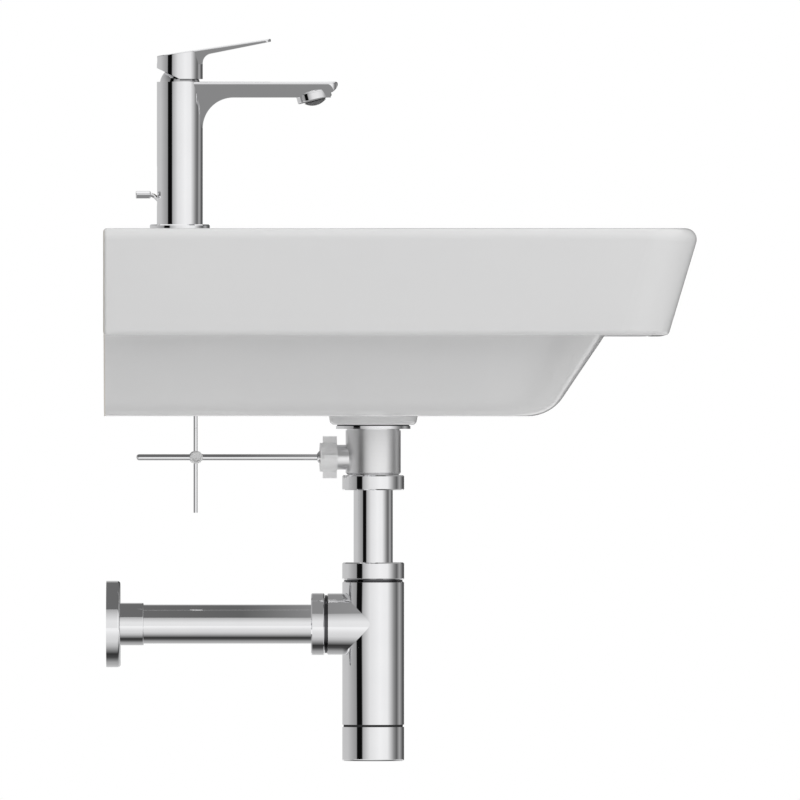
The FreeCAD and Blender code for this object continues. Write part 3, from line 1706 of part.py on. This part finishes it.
def make_trap_body():
    """The trap's bottle with a neck above and a branch to the wall."""
    radius = s.trap_width / 2
    inner = radius - s.trap_wall
    outline = [
        (inner, trap_foot),
        (radius, trap_foot),
        (radius, trap_top - s.groove_slope),
        (radius - s.groove_depth, trap_top),
        (radius - s.groove_depth, trap_top + s.trap_groove - s.groove_gap),
        (s.trap_neck_width / 2, trap_top + s.trap_groove - s.groove_gap),
        (s.trap_neck_width / 2, trap_top + neck_spigot),
        (pipe_hole / 2, trap_top + neck_spigot),
        (pipe_hole / 2, trap_top - s.trap_roof),
        (inner, trap_top - s.trap_roof),
    ]
    bottle = at_waste(turned("trap_bottle", outline))
    branch_radius = s.trap_branch_width / 2
    branch_end = s.trap_branch_reach + outlet_spigot
    collar_end = s.trap_branch_reach + s.outlet_groove - s.groove_gap
    branch_outline = [
        (0, 0),
        (branch_radius, 0),
        (branch_radius, s.trap_branch_reach - s.groove_slope),
        (branch_radius - s.groove_depth, s.trap_branch_reach),
        (branch_radius - s.groove_depth, collar_end),
        (s.trap_neck_width / 2, collar_end),
        (s.trap_neck_width / 2, branch_end),
        (0, branch_end),
    ]
    branch = at_outlet(turned("trap_branch", branch_outline))
    core = at_waste(cylinder("trap_core", inner * 2, s.trap_body_length), trap_foot)
    arm = cut_from("trap_branch_arm", branch, [core])
    solid = fused("trap_solid", [bottle, arm])
    way_width = s.trap_branch_width - s.trap_wall * 2
    way = at_outlet(cylinder("trap_way", way_width, s.trap_branch_reach - s.trap_roof))
    mouth = at_outlet(cylinder("trap_mouth", pipe_hole, branch_end))
    keep(cut_from("trap_body", solid, [way, mouth]))


def make_trap_fittings():
    """The nuts and seals on the trap, its cleaning cup, the outlet pipe and the wall flange."""
    neck = s.trap_neck_width
    keep(at_waste(make_slip_nut("trap_inlet_nut", s.trap_nut_height, neck), trap_top + s.trap_groove))
    keep(at_waste(slip_seal("trap_inlet_seal", neck), trap_top + neck_spigot))
    outlet_start = s.trap_branch_reach + s.outlet_groove
    keep(at_outlet(make_slip_nut("trap_outlet_nut", s.outlet_nut_length, neck), outlet_start))
    keep(at_outlet(slip_seal("trap_outlet_seal", neck), s.trap_branch_reach + outlet_spigot))

    radius = s.trap_width / 2
    spigot = radius - s.trap_wall - s.thread_room
    inner = spigot - s.trap_wall
    cup_outline = [
        (0, 0),
        (radius, 0, "round", s.cup_edge),
        (radius, s.cup_height),
        (spigot, s.cup_height),
        (spigot, s.cup_height + s.cup_groove + s.cup_spigot),
        (inner, s.cup_height + s.cup_groove + s.cup_spigot),
        (inner, s.cup_floor),
        (0, s.cup_floor),
    ]
    cup_top = trap_foot - s.cup_groove
    keep(at_waste(turned("trap_cup", cup_outline), cup_top - s.cup_height))
    seal_width = s.trap_width - s.trap_wall
    seal_bore = (spigot + s.thread_room) * 2
    keep(at_waste(tube("trap_cup_seal", seal_width, seal_bore, s.cup_groove), cup_top))

    bore = s.pipe_width - s.pipe_wall * 2
    pipe = tube("outlet_pipe", s.pipe_width, bore, s.outlet_end)
    keep(at_outlet(pipe, s.waste_depth - s.outlet_end))
    rim_radius = s.wall_flange_width / 2
    collar = s.collar_width / 2
    wall = s.wall_flange_wall
    face = s.wall_flange_height
    flange_outline = [
        (rim_radius - wall, 0),
        (rim_radius, 0),
        (rim_radius, face, "round", s.wall_flange_edge),
        (collar, face),
        (collar, s.collar_end, "round", s.collar_round),
        (collar - wall, s.collar_end),
        (collar - wall, face - wall),
        (rim_radius - wall, face - wall, "round", s.wall_flange_edge - wall),
    ]
    keep(place(turned("wall_flange", flange_outline), 0, 0, -s.branch_drop, TO_FRONT))


make_tail()
make_trap_body()
make_trap_fittings()


def write_parts():
    """Check every object and write each node to its own file."""
    doc.recompute()
    broken = [o.Label for o in doc.Objects if "Invalid" in o.State or "Error" in o.State]
    if broken:
        raise RuntimeError("objects that failed: " + ", ".join(broken))
    for piece in nodes:
        if piece.Shape.isNull() or not piece.Shape.isValid():
            raise RuntimeError("no valid shape: " + piece.Label)
    os.makedirs("parts", exist_ok=True)
    for piece in nodes:
        piece.Shape.exportStep("parts/%s.step" % piece.Label)
        print("%-24s %10.0f mm3 %3d solids" % (piece.Label, piece.Shape.Volume, len(piece.Shape.Solids)))


write_parts()
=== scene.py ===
import json
import math
import bpy
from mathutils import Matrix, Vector


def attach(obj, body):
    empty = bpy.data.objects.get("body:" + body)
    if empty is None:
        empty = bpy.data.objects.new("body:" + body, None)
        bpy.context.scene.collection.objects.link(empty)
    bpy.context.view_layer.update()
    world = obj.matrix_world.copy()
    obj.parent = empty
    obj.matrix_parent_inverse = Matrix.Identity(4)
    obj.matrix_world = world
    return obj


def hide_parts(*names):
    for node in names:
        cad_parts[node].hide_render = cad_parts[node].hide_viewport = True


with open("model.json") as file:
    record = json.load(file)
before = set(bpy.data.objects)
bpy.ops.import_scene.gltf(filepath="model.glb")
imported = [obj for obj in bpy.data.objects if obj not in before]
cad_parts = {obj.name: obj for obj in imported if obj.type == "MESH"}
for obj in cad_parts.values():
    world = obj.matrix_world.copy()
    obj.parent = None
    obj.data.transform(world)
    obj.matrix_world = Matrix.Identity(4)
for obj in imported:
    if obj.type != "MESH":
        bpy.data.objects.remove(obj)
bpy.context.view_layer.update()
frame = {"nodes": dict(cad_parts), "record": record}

nodes = frame["nodes"]
scene = bpy.context.scene
scene.view_settings.view_transform = "Standard"
print("frame loaded:", len(nodes), "nodes")


# camera: a very long lens from the basin's left, square to its side
cameraLook = {
    "lens": 1500.0,
    "sensor": 36.0,
    "frameWidth": 0.65,  # metres across the picture
    "plane": -0.15,  # x where that width is measured
    "aimY": -0.2399,
    "aimZ": -0.0639,
}


def addCamera(look):
    away = look["frameWidth"] * look["lens"] / look["sensor"]
    place = (look["plane"] - away, look["aimY"], look["aimZ"])
    bpy.ops.object.camera_add(location=place, rotation=(math.pi / 2, 0, -math.pi / 2))
    camera = bpy.context.object
    camera.data.lens = look["lens"]
    camera.data.sensor_width = look["sensor"]
    camera.data.clip_end = away * 2
    scene.camera = camera
    print("camera", round(away, 2), "m away")


addCamera(cameraLook)


# shader nodes that the stage and the finishes share
def feed(tree, socket, value):
    if isinstance(value, bpy.types.NodeSocket):
        tree.links.new(value, socket)
    else:
        socket.default_value = value


def addMath(tree, operation, first, second):
    node = tree.nodes.new("ShaderNodeMath")
    node.operation = operation
    feed(tree, node.inputs[0], first)
    feed(tree, node.inputs[1], second)
    return node.outputs[0]


def addRange(tree, value, start, end, low=0.0, high=1.0):
    node = tree.nodes.new("ShaderNodeMapRange")
    feed(tree, node.inputs["Value"], value)
    feed(tree, node.inputs["From Min"], start)
    feed(tree, node.inputs["From Max"], end)
    feed(tree, node.inputs["To Min"], low)
    feed(tree, node.inputs["To Max"], high)
    return node.outputs["Result"]


def addMix(tree, kind, factor, first, second):
    node = tree.nodes.new("ShaderNodeMix")
    node.data_type = kind
    feed(tree, node.inputs["Factor"], factor)
    feed(tree, node.inputs["A"], first)
    feed(tree, node.inputs["B"], second)
    return node.outputs["Result"]


def splitAxes(tree, where):
    node = tree.nodes.new("ShaderNodeSeparateXYZ")
    feed(tree, node.inputs["Vector"], where)
    return node.outputs


def blendShaders(tree, factor, first, second, out):
    node = tree.nodes.new("ShaderNodeMixShader")
    feed(tree, node.inputs["Fac"], factor)
    feed(tree, node.inputs[1], first.outputs[0])
    feed(tree, node.inputs[2], second.outputs[0])
    feed(tree, out.inputs["Surface"], node.outputs["Shader"])


# what a face shows from its front and from its back
def twoSided(tree, front, back, out):
    seen = tree.nodes.new("ShaderNodeNewGeometry")
    blendShaders(tree, seen.outputs["Backfacing"], front, back, out)


# stage: pale floor, white surround, soft lamps
white = (1, 1, 1, 1)
stageLook = {
    "floorLevel": -0.775,
    "floorSize": 14.0,
    "floorColour": (0.74, 0.74, 0.74, 1),
    "floorRough": 0.7,
    "floorGlow": 0.25,
    "surround": 1.0,  # what the camera and the metal see
    "ambient": 0.24,  # what lights the part
    "middleY": -0.2,
}
lampLook = {
    "overhead": {"at": (-1.2, -0.5, 2.7), "size": 2.8, "power": 42.0},
    "side": {"at": (-2.8, -0.6, 1.3), "size": 2.2, "power": 16.0},
    "front": {"at": (-1.4, -3.0, 1.3), "size": 2.2, "power": 20.0},
    "fill": {"at": (2.7, 0.6, 1.9), "size": 2.4, "power": 16.0},
}
# what the metal mirrors: a studio wall of soft boxes and dark flags, and the floor with a
# painted shadow under the part
# angles in degrees about the basin, from the camera's side, positive to the basin's front
wallLook = {
    "reach": 3.0,
    "sides": 128,
    "low": -0.774,
    "high": 2.6,
    "dimFrom": 0.2,  # height where the wall starts to darken upwards
    "dimTo": 0.4,
    "stops": [
        (-180, 0.62), (-110, 0.6), (-65, 0.33),
        (-62, 0.004), (-42, 0.004),
        (-38, 0.45), (-12, 0.84), (25, 1.0), (55, 0.94),
        (83, 0.3), (98, 0.12), (116, 0.42), (140, 0.1), (180, 0.1),
    ],
}
# level cards, shaded along one axis and seen from one side: painted shade seen only in
# reflections, for the part's shadow on the floor and for the basin's underside and bowl in shade
cardLook = {
    # the floor as the metal mirrors it, with a painted shadow of the part, darkest straight
    # under it
    "floorShadowCard": {
        "level": -0.773, "x": (-1.6, 1.6), "y": (-1.8, 1.4), "side": "up", "along": "X",
        "stops": [
            (-1.4, 0.95), (-0.5, 0.74), (-0.32, 0.55), (-0.06, 0.035),
            (0.07, 0.07), (0.3, 0.4), (0.8, 0.56),
        ],
    },
    "basinShade": {
        "level": -0.0865, "x": (-0.21, 0.21), "y": (-0.36, 0.01), "side": "down", "along": "Y",
        "stops": [(-0.36, 0.4), (-0.17, 0.28), (-0.11, 0.14), (0.01, 0.16)],
    },
    "bowlShade": {
        "level": 0.0765, "x": (-0.4, 0.4), "y": (-0.44, -0.02), "side": "up", "along": "Y",
        "stops": [(-0.44, 0.4), (-0.25, 0.29), (-0.02, 0.27)],
    },
}


def startGlow(name):
    mat = bpy.data.materials.new(name)
    mat.use_nodes = True
    tree = mat.node_tree
    tree.nodes.clear()
    out = tree.nodes.new("ShaderNodeOutputMaterial")
    glow = tree.nodes.new("ShaderNodeEmission")
    where = tree.nodes.new("ShaderNodeTexCoord")
    return mat, tree, glow, out, splitAxes(tree, where.outputs["Object"])


def shadeRamp(tree, value, low, high, stops):
    ramp = tree.nodes.new("ShaderNodeValToRGB")
    feed(tree, ramp.inputs["Fac"], addRange(tree, value, low, high))
    line = ramp.color_ramp
    while len(line.elements) < len(stops):
        line.elements.new(0.5)
    for element, (at, shade) in zip(line.elements, stops):
        element.position = (at - low) / (high - low)
        element.color = (shade, shade, shade, 1)
    return ramp.outputs["Color"]


def mirrorOnly(card):
    card.visible_camera = False
    card.visible_diffuse = False
    card.visible_transmission = False
    card.visible_shadow = False


def addFloor(look):
    place = (0, look["middleY"], look["floorLevel"])
    bpy.ops.mesh.primitive_plane_add(size=look["floorSize"], location=place)
    floor = bpy.context.object
    floor.name = "floor"
    mat = bpy.data.materials.new("paleFloor")
    mat.use_nodes = True
    tree = mat.node_tree
    paint = tree.nodes["Principled BSDF"]
    paint.inputs["Base Color"].default_value = look["floorColour"]
    paint.inputs["Roughness"].default_value = look["floorRough"]
    paint.inputs["Specular IOR Level"].default_value = 0.0
    paint.inputs["Emission Color"].default_value = white
    paint.inputs["Emission Strength"].default_value = look["floorGlow"]
    # seen from below, the floor lets the basin show
    clear = tree.nodes.new("ShaderNodeBsdfTransparent")
    twoSided(tree, paint, clear, tree.nodes["Material Output"])
    floor.data.materials.append(mat)
    floor.visible_glossy = False


def addSurround(look):
    world = bpy.data.worlds.new("surround")
    scene.world = world
    world.use_nodes = True
    tree = world.node_tree
    tree.nodes.clear()
    out = tree.nodes.new("ShaderNodeOutputWorld")
    shades = []
    for strength in (look["ambient"], look["surround"]):
        shade = tree.nodes.new("ShaderNodeBackground")
        shade.inputs["Color"].default_value = white
        shade.inputs["Strength"].default_value = strength
        shades.append(shade)
    rays = tree.nodes.new("ShaderNodeLightPath").outputs
    seen = rays["Is Camera Ray"]
    for ray in ("Is Glossy Ray", "Is Transmission Ray"):
        seen = addMath(tree, "MAXIMUM", seen, rays[ray])
    blendShaders(tree, seen, *shades, out)


def addLamp(name, look, aim):
    towards = (aim - Vector(look["at"])).to_track_quat("-Z", "Y").to_euler()
    bpy.ops.object.light_add(type="AREA", location=look["at"], rotation=towards)
    lamp = bpy.context.object
    lamp.name = name
    lamp.data.size = look["size"]
    lamp.data.energy = look["power"]
    lamp.visible_glossy = False


def addStudioWall(look, middleY):
    tall = look["high"] - look["low"]
    middleZ = look["low"] + tall / 2
    bpy.ops.mesh.primitive_cylinder_add(
        vertices=look["sides"], radius=look["reach"], depth=tall, end_fill_type="NOTHING",
        location=(0, middleY, middleZ))
    wall = bpy.context.object
    wall.name = "studioWall"
    mat, tree, glow, out, axes = startGlow("studioWall")
    opposite = [addMath(tree, "MULTIPLY", axes[axis], -1.0) for axis in ("Y", "X")]
    angle = addMath(tree, "ARCTAN2", *opposite)
    stops = [(math.radians(at), shade) for at, shade in look["stops"]]
    feed(tree, glow.inputs["Color"], shadeRamp(tree, angle, -math.pi, math.pi, stops))
    dim = addRange(tree, axes["Z"], look["dimFrom"] - middleZ, tall / 2, 1.0, look["dimTo"])
    feed(tree, glow.inputs["Strength"], dim)
    feed(tree, out.inputs["Surface"], glow.outputs["Emission"])
    wall.data.materials.append(mat)
    mirrorOnly(wall)


def addCard(name, look):
    wide = look["x"][1] - look["x"][0]
    deep = look["y"][1] - look["y"][0]
    bpy.ops.mesh.primitive_plane_add(size=1)
    card = bpy.context.object
    card.name = name
    card.scale = (wide, deep, 1)
    card.location = (look["x"][0] + wide / 2, look["y"][0] + deep / 2, look["level"])
    bpy.ops.object.transform_apply(location=True, rotation=False, scale=True)
    mat, tree, glow, out, axes = startGlow(name)
    along = look["along"]
    low, high = look[along.lower()]
    feed(tree, glow.inputs["Color"], shadeRamp(tree, axes[along], low, high, look["stops"]))
    clear = tree.nodes.new("ShaderNodeBsdfTransparent")
    front, back = (glow, clear) if look["side"] == "up" else (clear, glow)
    twoSided(tree, front, back, out)
    card.data.materials.append(mat)
    mirrorOnly(card)


addFloor(stageLook)
addSurround(stageLook)
aim = Vector((0, stageLook["middleY"], 0))
for name, look in lampLook.items():
    addLamp(name, look, aim)
addStudioWall(wallLook, stageLook["middleY"])
for name, look in cardLook.items():
    addCard(name, look)
print("stage set")


# finishes: a noise is (scale, detail) and a bump is (strength, metres deep)
noiseLow, noiseHigh = 0.3, 0.7  # most of a noise lies between these


def startMaterial(name, metallic):
    mat = bpy.data.materials.new(name)
    mat.use_nodes = True
    tree = mat.node_tree
    shader = tree.nodes["Principled BSDF"]
    shader.inputs["Metallic"].default_value = metallic
    coords = tree.nodes.new("ShaderNodeTexCoord")
    return mat, tree, shader, coords.outputs["Object"]


def addNoise(tree, where, scale, detail):
    noise = tree.nodes.new("ShaderNodeTexNoise")
    noise.inputs["Scale"].default_value = scale
    noise.inputs["Detail"].default_value = detail
    feed(tree, noise.inputs["Vector"], where)
    return noise.outputs["Fac"]


def tint(tree, noise, look):
    ramp = tree.nodes.new("ShaderNodeValToRGB")
    ends = ramp.color_ramp.elements
    ends[0].position, ends[1].position = noiseLow, noiseHigh
    ends[0].color, ends[1].color = look["deep"], look["light"]
    feed(tree, ramp.inputs["Fac"], noise)
    return ramp.outputs["Color"]


def dulled(tree, noise, look):
    return addRange(tree, noise, noiseLow, noiseHigh, look["smooth"], look["dull"])


def addBump(tree, shader, height, strength, deep):
    bump = tree.nodes.new("ShaderNodeBump")
    bump.inputs["Strength"].default_value = strength
    bump.inputs["Distance"].default_value = deep
    feed(tree, bump.inputs["Height"], height)
    feed(tree, shader.inputs["Normal"], bump.outputs["Normal"])


glazeLook = {
    "light": (0.82, 0.82, 0.82, 1),
    "deep": (0.8, 0.8, 0.802, 1),
    "bare": (0.72, 0.69, 0.64, 1),
    "bareFrom": -0.0012,  # unglazed within this of the wall
    "smooth": 0.07,
    "dull": 0.12,
    "bareDull": 0.8,
    "cloud": (7.0, 4.0),
    "ripple": (60.0, 1.0),
    "bareGrain": (900.0, 2.0),
    "bump": (0.05, 0.0004),
}


def glazedCeramic(name, look):
    mat, tree, shader, where = startMaterial(name, 0.0)
    bare = addMath(tree, "GREATER_THAN", splitAxes(tree, where)["Y"], look["bareFrom"])
    cloud = addNoise(tree, where, *look["cloud"])
    colour = addMix(tree, "RGBA", bare, tint(tree, cloud, look), look["bare"])
    rough = addMix(tree, "FLOAT", bare, dulled(tree, cloud, look), look["bareDull"])
    ripple = addNoise(tree, where, *look["ripple"])
    grain = addNoise(tree, where, *look["bareGrain"])
    feed(tree, shader.inputs["Base Color"], colour)
    feed(tree, shader.inputs["Roughness"], rough)
    addBump(tree, shader, addMix(tree, "FLOAT", bare, ripple, grain), *look["bump"])
    return mat


chromeLook = {
    "light": (0.88, 0.88, 0.89, 1),
    "deep": (0.85, 0.85, 0.862, 1),
    "smooth": 0.02,
    "dull": 0.05,
    "film": (35.0, 5.0),
    "ripple": (30.0, 1.0),
    "bump": (0.01, 0.0002),
}
# the trap's two slip joints: painted shade, a dark colour painted into the chrome in the groove
# behind each nut
grooveShadeLook = {
    "paintedShade": (0.09, 0.09, 0.095, 1),
    "past": {"Z": -0.2127, "Y": -0.1809},
    "soft": 0.0003,
}


def polishedChrome(name, look, grooveShade=None):
    mat, tree, shader, where = startMaterial(name, 1.0)
    film = addNoise(tree, where, *look["film"])
    colour = tint(tree, film, look)
    if grooveShade:
        axes = splitAxes(tree, where)
        # painted shade: past each groove's edge the chrome colour turns dark
        masks = [
            addRange(tree, axes[axis], start, start + grooveShade["soft"])
            for axis, start in grooveShade["past"].items()
        ]
        grooveShadeMask = addMath(tree, "MAXIMUM", *masks)
        colour = addMix(tree, "RGBA", grooveShadeMask, colour, grooveShade["paintedShade"])
    feed(tree, shader.inputs["Base Color"], colour)
    feed(tree, shader.inputs["Roughness"], dulled(tree, film, look))
    addBump(tree, shader, addNoise(tree, where, *look["ripple"]), *look["bump"])
    return mat


satinLook = {
    "light": (0.88, 0.88, 0.885, 1),
    "deep": (0.865, 0.865, 0.87, 1),
    "smooth": 0.28,
    "dull": 0.3,
    "lines": (60.0, 4.0),
    "stretch": (1, 1, 12),  # turned lines run round the upright axis
    "bump": (0.006, 0.0001),
}


def satinMetal(name, look):
    mat, tree, shader, where = startMaterial(name, 1.0)
    mapping = tree.nodes.new("ShaderNodeMapping")
    mapping.inputs["Scale"].default_value = look["stretch"]
    feed(tree, mapping.inputs["Vector"], where)
    lines = addNoise(tree, mapping.outputs["Vector"], *look["lines"])
    feed(tree, shader.inputs["Base Color"], tint(tree, lines, look))
    feed(tree, shader.inputs["Roughness"], dulled(tree, lines, look))
    addBump(tree, shader, lines, *look["bump"])
    return mat


plasticGrain = {"metallic": 0.0, "cloud": (120.0, 4.0), "grain": (1500.0, 2.0)}
metalGrain = {"metallic": 1.0, "cloud": (260.0, 5.0), "grain": (1800.0, 3.0)}
milkyLook = {
    "light": (0.985, 0.985, 0.985, 1), "deep": (0.965, 0.965, 0.965, 1),
    "smooth": 0.3, "dull": 0.42, "shine": 1.0, "bump": (0.06, 0.0002),
}
innerLook = {
    "light": (0.12, 0.12, 0.125, 1), "deep": (0.08, 0.08, 0.085, 1),
    "smooth": 0.4, "dull": 0.55, "shine": 0.5, "bump": (0.08, 0.0002),
}
greyLook = {
    "light": (0.2, 0.202, 0.205, 1), "deep": (0.17, 0.172, 0.175, 1),
    "smooth": 0.2, "dull": 0.32, "shine": 0.5, "bump": (0.04, 0.0002),
}
rubberLook = {
    "light": (0.035, 0.035, 0.036, 1), "deep": (0.018, 0.018, 0.019, 1),
    "smooth": 0.6, "dull": 0.8, "shine": 0.5, "bump": (0.15, 0.0002),
}
steelLook = {
    "light": (0.62, 0.63, 0.65, 1), "deep": (0.42, 0.43, 0.45, 1),
    "smooth": 0.28, "dull": 0.48, "shine": 0.5, "bump": (0.08, 0.0002),
}
brassLook = {
    "light": (0.78, 0.6, 0.31, 1), "deep": (0.62, 0.45, 0.2, 1),
    "smooth": 0.22, "dull": 0.38, "shine": 0.5, "bump": (0.08, 0.0002),
}


def grainyFinish(name, look, family):
    mat, tree, shader, where = startMaterial(name, family["metallic"])
    shader.inputs["Specular IOR Level"].default_value = look["shine"]
    cloud = addNoise(tree, where, *family["cloud"])
    feed(tree, shader.inputs["Base Color"], tint(tree, cloud, look))
    feed(tree, shader.inputs["Roughness"], dulled(tree, cloud, look))
    addBump(tree, shader, addNoise(tree, where, *family["grain"]), *look["bump"])
    return mat


finishes = {
    "white_ceramic": glazedCeramic("glazedCeramic", glazeLook),
    "polished_chrome": polishedChrome("polishedChrome", chromeLook),
    "satin_metal": satinMetal("satinMetal", satinLook),
    "white_plastic": grainyFinish("milkyPlastic", milkyLook, plasticGrain),
    "inner_plastic": grainyFinish("innerPlastic", innerLook, plasticGrain),
    "grey_plastic": grainyFinish("greyPlastic", greyLook, plasticGrain),
    "rubber_seal": grainyFinish("sealRubber", rubberLook, plasticGrain),
    "bare_steel": grainyFinish("zincSteel", steelLook, metalGrain),
    "bare_brass": grainyFinish("rawBrass", brassLook, metalGrain),
}


def coat(piece, finish):
    piece.data.materials.clear()
    piece.data.materials.append(finish)


for row in frame["record"]["subparts"]:
    coat(nodes[row["node"]], finishes[row["material_slot"]])
# the trap body's chrome, with painted shade in its grooves
coat(nodes["trap_body"], polishedChrome("grooveShadedChrome", chromeLook, grooveShadeLook))
print("finishes on", len(nodes), "nodes")


# new pieces, each turned on its axis from an outline of (radius, height) points in millimetres
perMetre = 1000
weldGap = 0.000005
seedSize = 0.001  # a small face, merged to the first point


def startPoint(name):
    bpy.ops.object.select_all(action="DESELECT")
    bpy.ops.mesh.primitive_plane_add(size=seedSize, location=(0, 0, 0))
    piece = bpy.context.object
    piece.name = name
    bpy.ops.object.mode_set(mode="EDIT")
    bpy.ops.mesh.select_all(action="SELECT")
    bpy.ops.mesh.merge(type="CENTER")
    return piece


def drawLine(outline):
    at = (0, 0)
    for count, (radius, height) in enumerate(outline):
        step = ((radius - at[0]) / perMetre, 0, (height - at[1]) / perMetre)
        if count:
            bpy.ops.mesh.extrude_region_move(TRANSFORM_OT_translate={"value": step})
        else:
            bpy.ops.transform.translate(value=step)
        at = (radius, height)
    bpy.ops.mesh.select_all(action="SELECT")


def closeUp():
    bpy.ops.mesh.select_all(action="SELECT")
    bpy.ops.mesh.remove_doubles(threshold=weldGap)
    bpy.ops.mesh.normals_make_consistent(inside=False)
    bpy.ops.object.mode_set(mode="OBJECT")


def turnPiece(name, outline, sides):
    piece = startPoint(name)
    drawLine(outline)
    bpy.ops.mesh.spin(steps=sides, angle=math.tau, center=(0, 0, 0), axis=(0, 0, 1))
    closeUp()
    return piece


def makeActive(piece):
    bpy.ops.object.select_all(action="DESELECT")
    piece.select_set(True)
    bpy.context.view_layer.objects.active = piece


def carve(piece, cutters):
    makeActive(cutters[0])
    for cutter in cutters:
        cutter.select_set(True)
    bpy.ops.object.join()
    tool = bpy.context.object
    makeActive(piece)
    cut = piece.modifiers.new("cut", "BOOLEAN")
    cut.operation = "DIFFERENCE"
    cut.object = tool
    bpy.ops.object.modifier_apply(modifier=cut.name)
    bpy.data.objects.remove(tool, do_unlink=True)


def finishPiece(piece, look):
    makeActive(piece)
    piece.rotation_euler = [math.radians(turn) for turn in look["turn"]]
    piece.location = look["at"]
    bpy.ops.object.transform_apply(location=True, rotation=True, scale=True)
    bpy.ops.object.shade_smooth_by_angle(angle=math.radians(look["smoothUnder"]))
    coat(piece, finishes[look["slot"]])
    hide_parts(look["node"])
    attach(piece, look["body"])
    print("made", piece.name, len(piece.data.polygons), "faces")


# aerator insert: a domed face with slots for the water
insertLook = {
    "node": "aerator_insert", "body": "aerator_body", "slot": "grey_plastic",
    "at": (0, -0.1705, 0.181), "turn": (-14.4, 0, 0), "smoothUnder": 35, "sides": 96,
    "neck": 7.5, "top": 6.0, "edge": 0.3,
    "capRadius": 9.0, "capTop": -0.85, "capFoot": -1.3, "capEdge": 0.2,
    "dome": 8.6, "bulge": 2.9, "arcSteps": 12,
    "slots": 5, "slotWidth": 0.8, "slotDeep": 1.2, "slotStep": 2.6, "slotEnd": 1.6,
    "cutterTall": 6.0,
}


def makeAeratorInsert(look):
    half, bulge, foot = look["dome"], look["bulge"], look["capFoot"]
    dome = (half * half + bulge * bulge) / (2 * bulge)
    reach = math.asin(half / dome)
    outline = []
    for step in range(look["arcSteps"] + 1):
        turn = reach * step / look["arcSteps"]
        outline.append((dome * math.sin(turn), foot + dome * (1 - math.cos(turn)) - bulge))
    cap, capTop, capEdge = look["capRadius"], look["capTop"], look["capEdge"]
    neck, top, edge = look["neck"], look["top"], look["edge"]
    outline += [
        (cap - capEdge, foot), (cap, foot + capEdge), (cap, capTop), (neck, capTop),
        (neck, top - edge), (neck - edge, top), (0, top),
    ]
    piece = turnPiece("aeratorInsert", outline, look["sides"])
    tall = look["cutterTall"] / perMetre
    cutters = []
    for count in range(look["slots"]):
        aside = (count - (look["slots"] - 1) / 2) * look["slotStep"]
        long = 2 * (math.sqrt(half * half - aside * aside) - look["slotEnd"])
        bottom = foot + dome - math.sqrt(dome * dome - aside * aside) - bulge
        slotTop = (bottom + look["slotDeep"]) / perMetre
        bpy.ops.mesh.primitive_cube_add(size=1)
        cutter = bpy.context.object
        cutter.scale = (look["slotWidth"] / perMetre, long / perMetre, tall)
        cutter.location = (aside / perMetre, 0, slotTop - tall / 2)
        bpy.ops.object.transform_apply(location=True, rotation=False, scale=True)
        cutters.append(cutter)
    carve(piece, cutters)
    finishPiece(piece, look)


# thumbscrew on the rod clamp: a dished head with a scalloped rim
thumbLook = {
    "node": "clamp_thumbscrew", "body": "rod_clamp_body", "slot": "white_plastic",
    "at": (-0.01697, -0.07374, -0.1107), "turn": (0, 90, 3.158), "smoothUnder": 30, "sides": 96,
    "outline": [
        (0, 0.9), (2.6, 0.9), (3.2, 0.7), (3.5, 0.25), (3.8, 0), (4.7, 0), (5.1, 0.15),
        (5.3, 0.5), (5.3, 2.9), (5.1, 3.25), (4.7, 3.4), (3.8, 3.4), (3.8, 4.6),
        (2.0, 4.6), (2.0, 5.8), (0, 5.8),
    ],
    "scallops": 16, "scallopRadius": 0.7, "scallopOut": 5.62, "scallopSides": 20,
    "cutterTall": 12.0, "cutterMiddle": 1.5,
}


def makeThumbscrew(look):
    piece = turnPiece("thumbscrew", look["outline"], look["sides"])
    out = look["scallopOut"] / perMetre
    up = look["cutterMiddle"] / perMetre
    cutters = []
    for count in range(look["scallops"]):
        turn = math.tau * count / look["scallops"]
        bpy.ops.mesh.primitive_cylinder_add(
            vertices=look["scallopSides"], radius=look["scallopRadius"] / perMetre,
            depth=look["cutterTall"] / perMetre,
            location=(out * math.cos(turn), out * math.sin(turn), up))
        cutters.append(bpy.context.object)
    carve(piece, cutters)
    finishPiece(piece, look)


# fixing stud: a thread all along it, turned past both ends and cut to length
studLook = {
    "node": "tap_fixing_stud", "body": "basin_body", "slot": "bare_steel",
    "at": (0, -0.0475, 0), "turn": (0, 0, 0), "smoothUnder": 30, "sides": 32,
    "low": 11.6, "high": 83.6, "pitch": 1.25, "spareTurns": 2,
    "outline": [(3.25, 0), (3.25, 0.15), (4.0, 0.5), (4.0, 0.75), (3.25, 1.1), (3.25, 1.25)],
}


def makeStud(look):
    low, high, pitch, spare = look["low"], look["high"], look["pitch"], look["spareTurns"]
    piece = startPoint("threadedStud")
    drawLine([(radius, height + low - spare * pitch) for radius, height in look["outline"]])
    bpy.ops.object.mode_set(mode="OBJECT")
    thread = piece.modifiers.new("thread", "SCREW")
    thread.steps = look["sides"]
    thread.render_steps = look["sides"]
    thread.screw_offset = pitch / perMetre
    thread.iterations = int((high - low) / pitch) + 2 * spare
    makeActive(piece)
    bpy.ops.object.modifier_apply(modifier=thread.name)
    bpy.ops.object.mode_set(mode="EDIT")
    bpy.ops.mesh.select_all(action="SELECT")
    bpy.ops.mesh.remove_doubles(threshold=weldGap)
    for level, side in ((low, -1), (high, 1)):
        bpy.ops.mesh.select_all(action="SELECT")
        bpy.ops.mesh.bisect(
            plane_co=(0, 0, level / perMetre), plane_no=(0, 0, side),
            use_fill=True, clear_outer=True)
    closeUp()
    finishPiece(piece, look)


makeAeratorInsert(insertLook)
makeThumbscrew(thumbLook)
makeStud(studLook)
